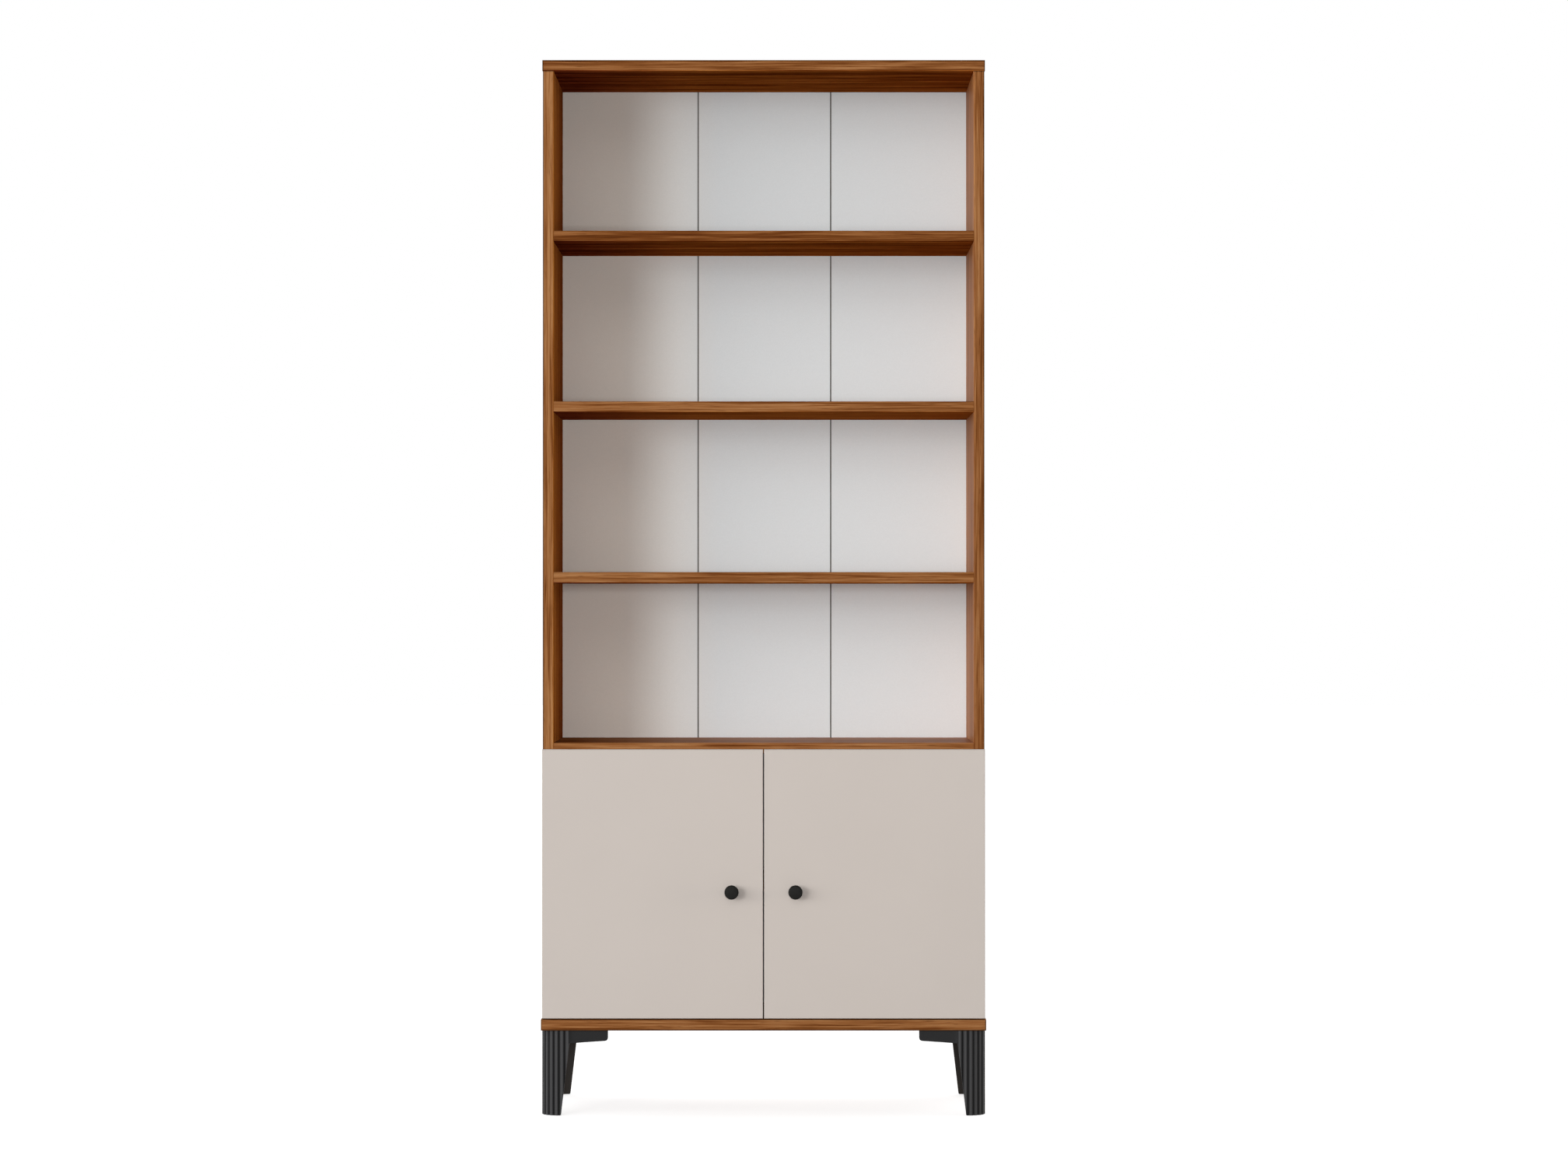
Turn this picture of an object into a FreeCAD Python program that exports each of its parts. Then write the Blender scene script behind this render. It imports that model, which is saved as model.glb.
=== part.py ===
import FreeCAD, Part
import os
import re

import Sketcher

doc = FreeCAD.newDocument("bookcase")

# Driving dimensions in millimetres; names that end in degrees, count or share say so.
sizes = {
    # Carcass boards
    "board": 18,
    "outer_width": 750,
    "outer_height": 1790,
    "carcass_depth": 300,
    "leg_height": 144,
    "cabinet_clear": 450,
    "top_overhang": 1,
    "bottom_overhang": 2,
    "bottom_lip": 2,
    "edge_bevel": 0.8,
    "corner_round": 3,
    # Loose shelf behind the doors
    "loose_setback": 24,
    "loose_play": 1,
    "pin_diameter": 5,
    "pin_stem": 10,
    "pin_reach": 9,
    "pin_setback": 45,
    "pin_fit": 0.05,
    # Back of three hardboard strips
    "back_thickness": 3,
    "back_center_width": 232,
    "back_joint": 2.5,
    "back_margin": 2,
    "tape_width": 40,
    "tape_thickness": 0.3,
    # Doors
    "door_thickness": 18,
    "door_gap": 2.5,
    "door_split": 2,
    "door_foot_gap": 2,
    "deck_reveal": 10.5,
    "door_bevel": 1,
    "bumper_width": 8,
    "bumper_play": 0.1,
    "bumper_inset": 20,
    # Knobs
    "knob_diameter": 24,
    "knob_reach": 23,
    "knob_head": 9,
    "knob_stem_diameter": 12,
    "knob_setin": 53,
    "knob_drop": 13,
    # Concealed hinges: cup let into the door
    "hinge_inset": 85,
    "cup_diameter": 35,
    "cup_depth": 12,
    "cup_edge": 3,
    "cup_floor": 0.8,
    "cup_fit": 0.05,
    "cup_mouth": 30.4,
    "cup_slot": 14.4,
    "cup_rim": 1.2,
    "cup_relief_depth": 6,
    "cup_ear_span": 58,
    "cup_ear_width": 12,
    "cup_ear_offset": 9.5,
    "ear_clip": 4,
    # Concealed hinges: arm on its plate, measured from the side board's inner face and front edge
    "plate_thickness": 2.2,
    "plate_start": 16,
    "plate_length": 48,
    "plate_width": 17,
    "plate_setback": 37,
    "plate_ear_span": 52,
    "plate_ear_width": 14,
    "arm_eye": 2.6,
    "arm_neck": 4,
    "arm_root": 18,
    "arm_end": 60,
    "arm_web": 1.5,
    "arm_web_start": 2,
    "cheek": 1.5,
    # Concealed hinges: pivots, links and the slot of the guide link
    "pivot_diameter": 2,
    "pivot_grip": 2,
    "pivot_fit": 0.05,
    "link_arm_x": 14.5,
    "link_arm_ahead": 10.8,
    "link_cup_offset": 11.7,
    "link_cup_depth": 8.2,
    "link_width": 4.6,
    "link_thickness": 6.6,
    "guide_arm_x": 14.4,
    "guide_arm_ahead": 3,
    "guide_cup_offset": 9.9,
    "guide_cup_depth": 0.5,
    "guide_width": 5.2,
    "guide_thickness": 1.5,
    "guide_shift": 0.24,
    "guide_slot_travel": 4.05,
    "guide_slot_width": 3.7,
    "layer_gap": 0.3,
    "eye_clip": 1.4,
    # Moulded corner legs
    "leg_round": 30,
    "leg_wall": 5,
    "leg_width": 47.5,
    "foot_width": 33.5,
    "leg_overhang": 1.3,
    "reed_depth": 1.4,
    "wing_reach": 113,
    "wing_rise": 22,
    "wing_tip_rise": 17.5,
    "wing_round": 5,
    "flange_reach": 58,
    "flange_waist": 30,
    "flange_thickness": 3,
    # Every cut runs past the surface by this much
    "overrun": 5,
}

shelf_names = ["lower_shelf", "middle_shelf", "upper_shelf"]
corner_reeds = 5
straight_reeds = 2
closeness = 1e-6

# Places worked out from the driving dimensions.
places = {
    "total_depth": "knob_reach + door_thickness + door_gap + carcass_depth + back_thickness + tape_thickness",
    "front_plane": "knob_reach + door_thickness + door_gap - total_depth / 2",
    "rear_plane": "front_plane + carcass_depth",
    "door_back": "front_plane - door_gap",
    "door_front": "door_back - door_thickness",
    "half_width": "outer_width / 2",
    "inner_half": "half_width - board",
    "floor_top": "leg_height + board",
    "deck_under": "floor_top + cabinet_clear",
    "side_height": "outer_height - board - floor_top",
    "shelf_pitch": f"(side_height - cabinet_clear) / {len(shelf_names) + 1}",
    "top_under": "floor_top + side_height",
    "loose_under": "floor_top + (cabinet_clear - board) / 2",
    "pin_rear": "carcass_depth - pin_setback",
    "pin_height": "loose_under - pin_diameter / 2",
    "back_foot": "leg_height + back_margin",
    "back_height": "top_under + board - back_margin - back_foot",
    "back_half": "half_width - back_margin",
    "back_joint_inner": "back_center_width / 2",
    "back_joint_outer": "back_joint_inner + back_joint",
    "door_foot": "floor_top + door_foot_gap",
    "door_height": "deck_under + board - deck_reveal - door_foot",
    "door_width": "half_width - door_split / 2",
    "knob_height": "door_height / 2 - knob_drop",
    "cup_x": "cup_edge + cup_diameter / 2 - board",
    "arm_half": "link_thickness / 2 + guide_thickness + cheek + 2 * layer_gap",
    "cheek_inner": "arm_half - cheek",
    "guide_inner": "link_thickness / 2 + layer_gap",
    "cup_mount": "door_gap - cup_rim",
    "cup_grip": "cup_slot / 2 + pivot_grip",
    "reed_pitch": f"pi / 2 * leg_round / {corner_reeds}",
    "valley_round": "leg_round - reed_depth",
}


def named(text):
    """Turns an expression in plain names into one that reads the sheet's cells."""

    def swap(match):
        word = match.group(0)
        if word in places:
            return "(" + named(places[word]) + ")"
        return "Sizes." + word if word in sizes else word

    return re.sub(r"[a-z_]+", swap, text)


def value(text):
    """Number that an expression gives now."""
    return float(sheet.evalExpression(named(text)))


def bind(thing, path, text):
    thing.setExpression(path, named(text))


sheet = doc.addObject("Spreadsheet::Sheet", "Sizes")
for row, (alias, number) in enumerate(sizes.items(), start=1):
    sheet.set(f"A{row}", alias)
    sheet.set(f"B{row}", str(number))
    sheet.setAlias(f"B{row}", alias)
doc.recompute()

pieces = []


def place(thing, spot, turn_axis=None, turn_degrees=0):
    """Puts an object at three expressions, turned about one axis."""
    if turn_axis:
        thing.Placement = FreeCAD.Placement(FreeCAD.Vector(), FreeCAD.Rotation(turn_axis, turn_degrees))
    for letter, text in zip("xyz", spot):
        bind(thing, f"Placement.Base.{letter}", text)


def new_body(label, spot, turn_axis=None, turn_degrees=0, alone=True):
    body = doc.addObject("PartDesign::Body", label)
    body.Label = label
    place(body, spot, turn_axis, turn_degrees)
    if alone:
        pieces.append(body)
    return body


def new_sketch(body, role, offset="0"):
    """Sketch on one of the body's own origin planes, moved along its normal."""
    sketch = body.newObject("Sketcher::SketchObject", body.Label + "_sketch")
    plane = next(feature for feature in body.Origin.OriginFeatures if feature.Role == role)
    sketch.AttachmentSupport = [(plane, "")]
    sketch.MapMode = "FlatFace"
    bind(sketch, "AttachmentOffset.Base.z", offset)
    return sketch


def hold(sketch, entries):
    """Adds constraints given with the expressions that drive them; None leaves one undriven."""
    first = sketch.ConstraintCount
    sketch.addConstraint([constraint for constraint, text in entries])
    for step, (constraint, text) in enumerate(entries):
        if text is not None:
            bind(sketch, f"Constraints[{first + step}]", text)


def point_entries(geometry, end, corner):
    """Both coordinates of one point of a sketch."""
    return [
        (Sketcher.Constraint(kind, -1, 1, geometry, end, value(text)), text)
        for kind, text in zip(("DistanceX", "DistanceY"), corner)
    ]


def outline(sketch, corners, bulges=None):
    """Closed outline through corners; bulges gives a side's rise to the left of the way along it."""
    bulges = bulges or {}
    spots = [FreeCAD.Vector(value(x), value(y), 0) for x, y in corners]
    ends = []
    entries = []
    for side, start in enumerate(spots):
        following = (side + 1) % len(spots)
        stop = spots[following]
        if side not in bulges:
            geometry = sketch.addGeometry(Part.LineSegment(start, stop), False)
            ends.append((geometry, 1, 2))
            continue
        rise = bulges[side]
        along = stop - start
        left = FreeCAD.Vector(-along.y, along.x, 0).normalize()
        middle = (start + stop) / 2 + left * value(rise)
        geometry = sketch.addGeometry(Part.Arc(start, middle, stop), False)
        forward = sketch.getPoint(geometry, 1).distanceToPoint(start) < closeness
        ends.append((geometry, 1, 2) if forward else (geometry, 2, 1))
        (x0, y0), (x1, y1) = corners[side], corners[following]
        across, up = f"(({x1}) - ({x0}))", f"(({y1}) - ({y0}))"
        chord = f"sqrt({across}^2 + {up}^2)"
        offset = f"(({rise}) / 2 - {chord}^2 / (8 * ({rise})))"
        if abs(along.x) > abs(along.y):
            kind, text = "DistanceY", f"(({y0}) + ({y1})) / 2 + {across} / {chord} * {offset}"
        else:
            kind, text = "DistanceX", f"(({x0}) + ({x1})) / 2 - {up} / {chord} * {offset}"
        entries.append((Sketcher.Constraint(kind, -1, 1, geometry, 3, value(text)), text))
    for side, corner in enumerate(corners):
        geometry, start_end, stop_end = ends[side]
        before, skipped, before_end = ends[side - 1]
        entries.append((Sketcher.Constraint("Coincident", before, before_end, geometry, start_end), None))
        entries += point_entries(geometry, start_end, corner)
    hold(sketch, entries)


def rectangle(sketch, left, low, right, high):
    outline(sketch, [(left, low), (right, low), (right, high), (left, high)])


def clipped(sketch, left, low, right, high, clip):
    """Rectangle with its corners cut off."""
    corners = [(f"{left} + {clip}", low), (f"{right} - {clip}", low), (right, f"{low} + {clip}")]
    corners += [(right, f"{high} - {clip}"), (f"{right} - {clip}", high), (f"{left} + {clip}", high)]
    corners += [(left, f"{high} - {clip}"), (left, f"{low} + {clip}")]
    outline(sketch, corners)


def circles(sketch, centers, diameter):
    entries = []
    for center in centers:
        spot = FreeCAD.Vector(value(center[0]), value(center[1]), 0)
        size = value(diameter)
        circle = Part.Circle(spot, FreeCAD.Vector(0, 0, 1), size / 2)
        geometry = sketch.addGeometry(circle, False)
        entries.append((Sketcher.Constraint("Diameter", geometry, size), diameter))
        entries += point_entries(geometry, 3, center)
    hold(sketch, entries)


def shape_by(body, kind, sketch, length, reverse=False):
    feature = body.newObject(kind, body.Label + "_feature")
    feature.Profile = sketch
    bind(feature, "Length", length)
    feature.Reversed = reverse
    body.Tip = feature
    return feature


def pad(body, sketch, length, reverse=False):
    return shape_by(body, "PartDesign::Pad", sketch, length, reverse)


def pocket(body, sketch, length, reverse=False):
    return shape_by(body, "PartDesign::Pocket", sketch, length, reverse)


def stand(body, role, offset, centers, diameter, height):
    """Round pins from one plane of the body, along its normal."""
    sketch = new_sketch(body, role, offset)
    circles(sketch, centers, diameter)
    return pad(body, sketch, height)


def drill(body, role, offset, centers, diameter, depth, reverse=False):
    """Round holes from one plane of the body, against its normal unless reversed."""
    sketch = new_sketch(body, role, offset)
    circles(sketch, centers, diameter)
    return pocket(body, sketch, depth, reverse)


def revolve(body, corners):
    """Turned solid about the body's Y axis."""
    sketch = new_sketch(body, "XY_Plane")
    outline(sketch, corners)
    feature = body.newObject("PartDesign::Revolution", body.Label + "_feature")
    feature.Profile = sketch
    feature.ReferenceAxis = (sketch, ["V_Axis"])
    body.Tip = feature


def dress_edges(body, kind, path, size, chosen):
    """Bevels or rounds the edges of the body whose boxes are chosen."""
    doc.recompute()
    base = body.Tip
    feature = body.newObject(kind, body.Label + "_edges")
    numbered = enumerate(base.Shape.Edges, start=1)
    feature.Base = (base, [f"Edge{number}" for number, edge in numbered if chosen(edge.BoundBox)])
    bind(feature, path, size)
    body.Tip = feature


def bevel_front(body, size, front):
    """Bevels the long edges in the plane of a board's front face."""

    def chosen(box):
        return flat_at(box.YMin, box.YMax, front) and box.DiagonalLength > value("board") + closeness

    dress_edges(body, "PartDesign::Chamfer", "Size", size, chosen)


def flat_at(low, high, text):
    """Whether a box's two limits both lie at an expression's value."""
    return abs(low - value(text)) < closeness and abs(high - value(text)) < closeness


def group(label, members):
    """One sub-part of several separate solids."""
    compound = doc.addObject("Part::Compound", label)
    compound.Label = label
    compound.Links = members
    pieces.append(compound)


def cylinder(name, diameter, height, spot, turn_axis=None, turn_degrees=0):
    rod = doc.addObject("Part::Cylinder", name)
    bind(rod, "Radius", f"({diameter}) / 2")
    bind(rod, "Height", height)
    place(rod, spot, turn_axis, turn_degrees)
    return rod


along_y = FreeCAD.Vector(0, 1, 0)
along_z = FreeCAD.Vector(0, 0, 1)
link_arm = ("link_arm_x", "-link_arm_ahead")
link_cup = ("cup_x - link_cup_offset", "-(door_gap + link_cup_depth)")
guide_arm = ("guide_arm_x", "-guide_arm_ahead")
guide_cup = ("cup_x - guide_cup_offset", "-(door_gap + guide_cup_depth)")
hinge_levels = {"lower": "hinge_inset", "upper": "door_height - hinge_inset"}
pin_rows = ["pin_setback", "pin_rear"]
sides = {"left": -1, "right": 1}


def top_panel():
    body = new_body("top_panel", ("0", "front_plane", "top_under"))
    reach = "half_width + top_overhang"
    sketch = new_sketch(body, "XY_Plane")
    rectangle(sketch, f"-({reach})", "0", reach, "carcass_depth")
    pad(body, sketch, "board")
    bevel_front(body, "edge_bevel", "0")


def bottom_panel():
    body = new_body("bottom_panel", ("0", "front_plane", "leg_height"))
    reach = "half_width + bottom_overhang"
    shoulder = f"{reach} - corner_round"
    front = "0 - door_gap - door_thickness - bottom_lip"
    corners = [(f"-({shoulder})", front), (shoulder, front), (reach, f"{front} + corner_round")]
    corners += [(reach, "carcass_depth"), (f"-({reach})", "carcass_depth")]
    corners.append((f"-({reach})", f"{front} + corner_round"))
    quarter = "-corner_round * (1 - cos(45))"
    sketch = new_sketch(body, "XY_Plane")
    outline(sketch, corners, {1: quarter, 5: quarter})
    pad(body, sketch, "board")


def side_panel(name, side):
    inner = "board" if side < 0 else "0"
    start = "-half_width" if side < 0 else "inner_half"
    body = new_body(f"{name}_side_panel", (start, "front_plane", "floor_top"))
    sketch = new_sketch(body, "YZ_Plane")
    rectangle(sketch, "0", "0", "carcass_depth", "side_height")
    pad(body, sketch, "board")
    pins = [(row, "pin_height - floor_top") for row in pin_rows]
    drill(body, "YZ_Plane", inner, pins, "pin_diameter + 2 * pin_fit", "pin_stem", reverse=side > 0)
    bevel_front(body, "edge_bevel", "0")


def fixed_shelf(label, under):
    body = new_body(label, ("0", "front_plane", under))
    sketch = new_sketch(body, "XY_Plane")
    rectangle(sketch, "-inner_half", "0", "inner_half", "carcass_depth")
    pad(body, sketch, "board")
    bevel_front(body, "edge_bevel", "0")


def cabinet_shelf():
    body = new_body("cabinet_shelf", ("0", "front_plane", "loose_under"))
    sketch = new_sketch(body, "XY_Plane")
    reach = "inner_half - loose_play"
    rectangle(sketch, f"-({reach})", "loose_setback", reach, "carcass_depth - loose_play")
    pad(body, sketch, "board")
    bevel_front(body, "edge_bevel", "loose_setback")


def shelf_pins():
    length = "pin_stem + pin_reach"
    members = []
    for side in sides.values():
        left = f"{side} * (inner_half + (pin_stem - pin_reach) / 2) - ({length}) / 2"
        for row in pin_rows:
            spot = (left, f"front_plane + {row}", "pin_height")
            members.append(cylinder("shelf_pin", "pin_diameter", length, spot, along_y, 90))
    group("shelf_pins", members)


def back_panels():
    spans = {
        "left": ("-back_half", "-back_joint_outer"),
        "center": ("-back_joint_inner", "back_joint_inner"),
        "right": ("back_joint_outer", "back_half"),
    }
    for name, (left, right) in spans.items():
        body = new_body(f"{name}_back_panel", ("0", "rear_plane + back_thickness", "back_foot"))
        sketch = new_sketch(body, "XZ_Plane")
        rectangle(sketch, left, "0", right, "back_height")
        pad(body, sketch, "back_thickness")
    tapes = []
    for name, side in sides.items():
        tape = doc.addObject("Part::Box", f"{name}_tape")
        bind(tape, "Length", "tape_width")
        bind(tape, "Width", "tape_thickness")
        bind(tape, "Height", "back_height")
        middle = f"{side} * (back_joint_inner + back_joint_outer) / 2"
        place(tape, (f"{middle} - tape_width / 2", "rear_plane + back_thickness", "back_foot"))
        tapes.append(tape)
    group("back_joint_tapes", tapes)


def leg(label, x, y, turn_degrees):
    """Corner leg with its outer corner at the origin and a reeded wall along X and along Y."""
    body = new_body(label, (x, y, "0"), along_z, turn_degrees)
    corners = [("wing_reach", "leg_wall"), ("wing_reach", "reed_depth")]
    for step in range(straight_reeds, -1, -1):
        corners.append((f"leg_round + reed_pitch * {step}", "reed_depth"))
    for step in range(1, corner_reeds + 1):
        turn = f"90 * {step} / {corner_reeds}"
        corners.append((f"leg_round - valley_round * sin({turn})", f"leg_round - valley_round * cos({turn})"))
    for step in range(1, straight_reeds + 1):
        corners.append(("reed_depth", f"leg_round + reed_pitch * {step}"))
    corners += [("reed_depth", "wing_reach"), ("leg_wall", "wing_reach"), ("leg_wall", "leg_round")]
    corners.append(("leg_round", "leg_wall"))
    first_reed = 2
    reeds = range(first_reed, first_reed + 2 * straight_reeds + corner_reeds)
    bulges = {side: "reed_depth" for side in reeds}
    bulges[len(corners) - 2] = "-(leg_round - leg_wall) * (1 - cos(45))"
    sketch = new_sketch(body, "XY_Plane")
    outline(sketch, corners, bulges)
    pad(body, sketch, "leg_height")
    below = [("foot_width", "-overrun"), ("foot_width", "0"), ("leg_width", "leg_height - wing_rise")]
    below += [("wing_reach", "leg_height - wing_tip_rise")]
    below += [("wing_reach + overrun", "leg_height - wing_tip_rise"), ("wing_reach + overrun", "-overrun")]
    for role, reverse in (("XZ_Plane", False), ("YZ_Plane", True)):
        sketch = new_sketch(body, role)
        outline(sketch, below)
        pocket(body, sketch, "leg_wall + overrun", reverse)
    middle = "leg_round - (leg_round - leg_wall / 2) * cos(45)"
    plate = [("leg_wall / 2", "leg_round"), (middle, middle), ("leg_round", "leg_wall / 2")]
    plate += [("flange_reach", "leg_wall / 2"), ("flange_reach", "flange_waist")]
    plate += [("flange_waist", "flange_reach"), ("leg_wall / 2", "flange_reach")]
    sketch = new_sketch(body, "XY_Plane", "leg_height - flange_thickness")
    outline(sketch, plate)
    pad(body, sketch, "flange_thickness")

    def wing_end(box):
        across = flat_at(box.XMin, box.XMax, "wing_reach") or flat_at(box.YMin, box.YMax, "wing_reach")
        return across and flat_at(box.ZMin, box.ZMax, "leg_height - wing_tip_rise")

    dress_edges(body, "PartDesign::Fillet", "Radius", "wing_round", wing_end)


def door(name, side):
    start = "-half_width" if side < 0 else "half_width"
    body = new_body(f"{name}_door", (start, "door_back", "door_foot"))
    sketch = new_sketch(body, "XZ_Plane")
    rectangle(sketch, "0", "0", f"{-side} * door_width", "door_height")
    pad(body, sketch, "door_thickness")
    cups = [(f"{-side} * (cup_edge + cup_diameter / 2)", level) for level in hinge_levels.values()]
    drill(body, "XZ_Plane", "0", cups, "cup_diameter", "cup_depth + cup_fit", reverse=True)
    bevel_front(body, "door_bevel", "-door_thickness")


def knob(name, side):
    spot = (f"{side} * (half_width - door_width + knob_setin)", "door_front", "door_foot + knob_height")
    body = new_body(f"{name}_knob", spot)
    stem, rim = "knob_stem_diameter / 2", "knob_diameter / 2"
    shoulder = "-(knob_reach - knob_head)"
    corners = [("0", "0"), (stem, "0"), (stem, shoulder), (rim, shoulder)]
    corners += [(rim, "-knob_reach"), ("0", "-knob_reach")]
    revolve(body, corners)


def door_bumpers(name, side):
    members = []
    for across in ("bumper_inset", "door_width - bumper_inset"):
        bumper = doc.addObject("Part::Box", f"{name}_bumper")
        bind(bumper, "Length", "bumper_width")
        bind(bumper, "Width", "door_gap - bumper_play")
        bind(bumper, "Height", "bumper_width")
        left = f"{side} * (half_width - ({across})) - bumper_width / 2"
        place(bumper, (left, "door_back", "door_foot + door_height - bumper_width"))
        members.append(bumper)
    group(f"{name}_door_bumpers", members)


def hinge_body(label, side, level, alone=True):
    """Body in a hinge's own frame: X from the side board's inner face, Y from its front edge."""
    spot = (f"{side} * inner_half", "front_plane", f"door_foot + {hinge_levels[level]}")
    return new_body(label, spot, along_y, 0 if side < 0 else 180, alone)


def hinge_plate(name, side, level):
    body = hinge_body(f"{name}_{level}_hinge_plate", side, level)
    sketch = new_sketch(body, "YZ_Plane")
    rectangle(sketch, "plate_start", "-plate_width / 2", "plate_start + plate_length", "plate_width / 2")
    pad(body, sketch, "plate_thickness")
    near, far = "plate_setback - plate_ear_width / 2", "plate_setback + plate_ear_width / 2"
    sketch = new_sketch(body, "YZ_Plane")
    clipped(sketch, near, "-plate_ear_span / 2", far, "plate_ear_span / 2", "ear_clip")
    pad(body, sketch, "plate_thickness")


def hinge_arm(name, side, level):
    """Bent channel on the plate; its cheeks carry the pivots of both links."""
    body = hinge_body(f"{name}_{level}_hinge_arm", side, level)
    inside, outside = "link_arm_x - arm_eye", "link_arm_x + arm_eye"
    nose = "0 - link_arm_ahead - arm_eye"
    corners = [(f"{inside} + eye_clip", nose), (f"{outside} - eye_clip", nose)]
    corners += [(outside, f"{nose} + eye_clip"), (outside, "arm_end"), ("plate_thickness", "arm_end")]
    corners += [("plate_thickness", "arm_root"), (inside, "arm_neck"), (inside, f"{nose} + eye_clip")]
    sketch = new_sketch(body, "XY_Plane", "-arm_half")
    outline(sketch, corners)
    pad(body, sketch, "2 * arm_half")
    web = f"{outside} - arm_web"
    hollow = [("-overrun", f"{nose} - overrun"), (f"{outside} + overrun", f"{nose} - overrun")]
    hollow += [(f"{outside} + overrun", "arm_web_start"), (web, "arm_web_start")]
    hollow += [(web, "arm_end + overrun"), ("-overrun", "arm_end + overrun")]
    sketch = new_sketch(body, "XY_Plane", "-cheek_inner")
    outline(sketch, hollow)
    pocket(body, sketch, "2 * cheek_inner", reverse=True)
    middle = "(arm_half - cheek / 2)"
    stand(body, "XY_Plane", f"-{middle}", [link_arm, guide_arm], "pivot_diameter", f"2 * {middle}")


def hinge_cup(name, side, level):
    """Cup with two ears; its walls carry the pivots that the links turn on."""
    body = hinge_body(f"{name}_{level}_hinge_cup", side, level, alone=False)
    center = [("cup_x", "0")]
    stand(body, "XZ_Plane", "cup_mount", center, "cup_diameter - 2 * cup_fit", "cup_rim + cup_depth")
    middle = "cup_x + cup_ear_offset"
    near, far = f"{middle} - cup_ear_width / 2", f"{middle} + cup_ear_width / 2"
    sketch = new_sketch(body, "XZ_Plane", "cup_mount")
    clipped(sketch, near, "-cup_ear_span / 2", far, "cup_ear_span / 2", "ear_clip")
    pad(body, sketch, "cup_rim")
    sketch = new_sketch(body, "XZ_Plane", "cup_mount")
    rectangle(sketch, "cup_x - cup_mouth / 2", "-cup_slot / 2", "cup_x + cup_mouth / 2", "cup_slot / 2")
    pocket(body, sketch, "cup_rim + cup_depth - cup_floor", reverse=True)
    sketch = new_sketch(body, "XZ_Plane", "cup_mount")
    rectangle(sketch, "cup_x - cup_diameter", "-cheek_inner", "cup_x", "cheek_inner")
    pocket(body, sketch, "cup_relief_depth", reverse=True)
    stand(body, "XY_Plane", "-cup_grip", [link_cup], "pivot_diameter", "2 * cup_grip")
    for low in ("-cup_grip", "guide_inner"):
        stand(body, "XY_Plane", low, [guide_cup], "pivot_diameter", "cup_grip - guide_inner")
    return body


def hinge_link(name, side, level):
    body = hinge_body(f"{name}_{level}_hinge_link", side, level)
    left, right = f"{link_cup[0]} - link_width / 2", f"{link_arm[0]} + link_width / 2"
    middle = f"({link_arm[1]} + {link_cup[1]}) / 2"
    sketch = new_sketch(body, "XY_Plane", "-link_thickness / 2")
    clipped(sketch, left, f"{middle} - link_width / 2", right, f"{middle} + link_width / 2", "eye_clip")
    pad(body, sketch, "link_thickness")
    bore = "pivot_diameter + 2 * pivot_fit"
    drill(body, "XY_Plane", "link_thickness / 2", [link_arm, link_cup], bore, "link_thickness")


def guide_link(name, side, level):
    """Pair of thin plates; the cup's pivots run in their slots."""
    members = []
    end = "guide_width / 2"
    middle = f"{guide_arm[1]} + guide_shift / 2"
    slot_middle = f"{guide_cup[1]} + guide_shift"
    bore = "pivot_diameter + 2 * pivot_fit"
    slot_left = f"{guide_cup[0]} - ({bore}) / 2"
    slot_right = f"{guide_cup[0]} + guide_slot_travel + ({bore}) / 2"
    for edge, low in (("upper", "guide_inner"), ("lower", "-guide_inner - guide_thickness")):
        body = hinge_body(f"{name}_{level}_{edge}_guide_plate", side, level, alone=False)
        sketch = new_sketch(body, "XY_Plane", low)
        left, right = f"{guide_cup[0]} - {end}", f"{guide_arm[0]} + {end}"
        clipped(sketch, left, f"{middle} - {end}", right, f"{middle} + {end}", "eye_clip")
        pad(body, sketch, "guide_thickness")
        top = f"{low} + guide_thickness"
        drill(body, "XY_Plane", top, [guide_arm], bore, "guide_thickness")
        sketch = new_sketch(body, "XY_Plane", top)
        half = "guide_slot_width / 2"
        rectangle(sketch, slot_left, f"{slot_middle} - {half}", slot_right, f"{slot_middle} + {half}")
        pocket(body, sketch, "guide_thickness")
        members.append(body)
    group(f"{name}_{level}_guide_link", members)


def hinges(name, side):
    for level in hinge_levels:
        hinge_plate(name, side, level)
        hinge_arm(name, side, level)
        hinge_link(name, side, level)
        guide_link(name, side, level)
    group(f"{name}_hinge_cups", [hinge_cup(name, side, level) for level in hinge_levels])


top_panel()
bottom_panel()
fixed_shelf("cabinet_top", "deck_under")
for step, shelf_name in enumerate(shelf_names, start=1):
    fixed_shelf(shelf_name, f"deck_under + shelf_pitch * {step}")
cabinet_shelf()
shelf_pins()
back_panels()
leg("front_left_leg", "-(half_width + leg_overhang)", "door_front", 0)
leg("front_right_leg", "half_width + leg_overhang", "door_front", 90)
leg("rear_right_leg", "half_width + leg_overhang", "rear_plane", 180)
leg("rear_left_leg", "-(half_width + leg_overhang)", "rear_plane", 270)
for side_name, side_sign in sides.items():
    side_panel(side_name, side_sign)
    door(side_name, side_sign)
    knob(side_name, side_sign)
    door_bumpers(side_name, side_sign)
    hinges(side_name, side_sign)

doc.recompute()

for thing in doc.Objects:
    if "Invalid" in thing.State or "Error" in thing.State:
        raise RuntimeError(f"{thing.Label} failed: {thing.State}")
    if thing.TypeId == "PartDesign::Pocket" and thing.Shape.Volume >= thing.BaseFeature.Shape.Volume:
        raise RuntimeError(f"{thing.Label} cuts nothing")
for piece in pieces:
    if piece.Shape.isNull() or not piece.Shape.isValid():
        raise RuntimeError(f"{piece.Label} has no valid shape")

os.makedirs("parts", exist_ok=True)
for piece in pieces:
    piece.Shape.exportStep(f"parts/{piece.Label}.step")
    print(piece.Label, len(piece.Shape.Solids), "solids", round(piece.Shape.Volume), "mm3")
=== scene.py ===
import math

import bmesh
import bpy
from mathutils import Matrix, Vector


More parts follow.
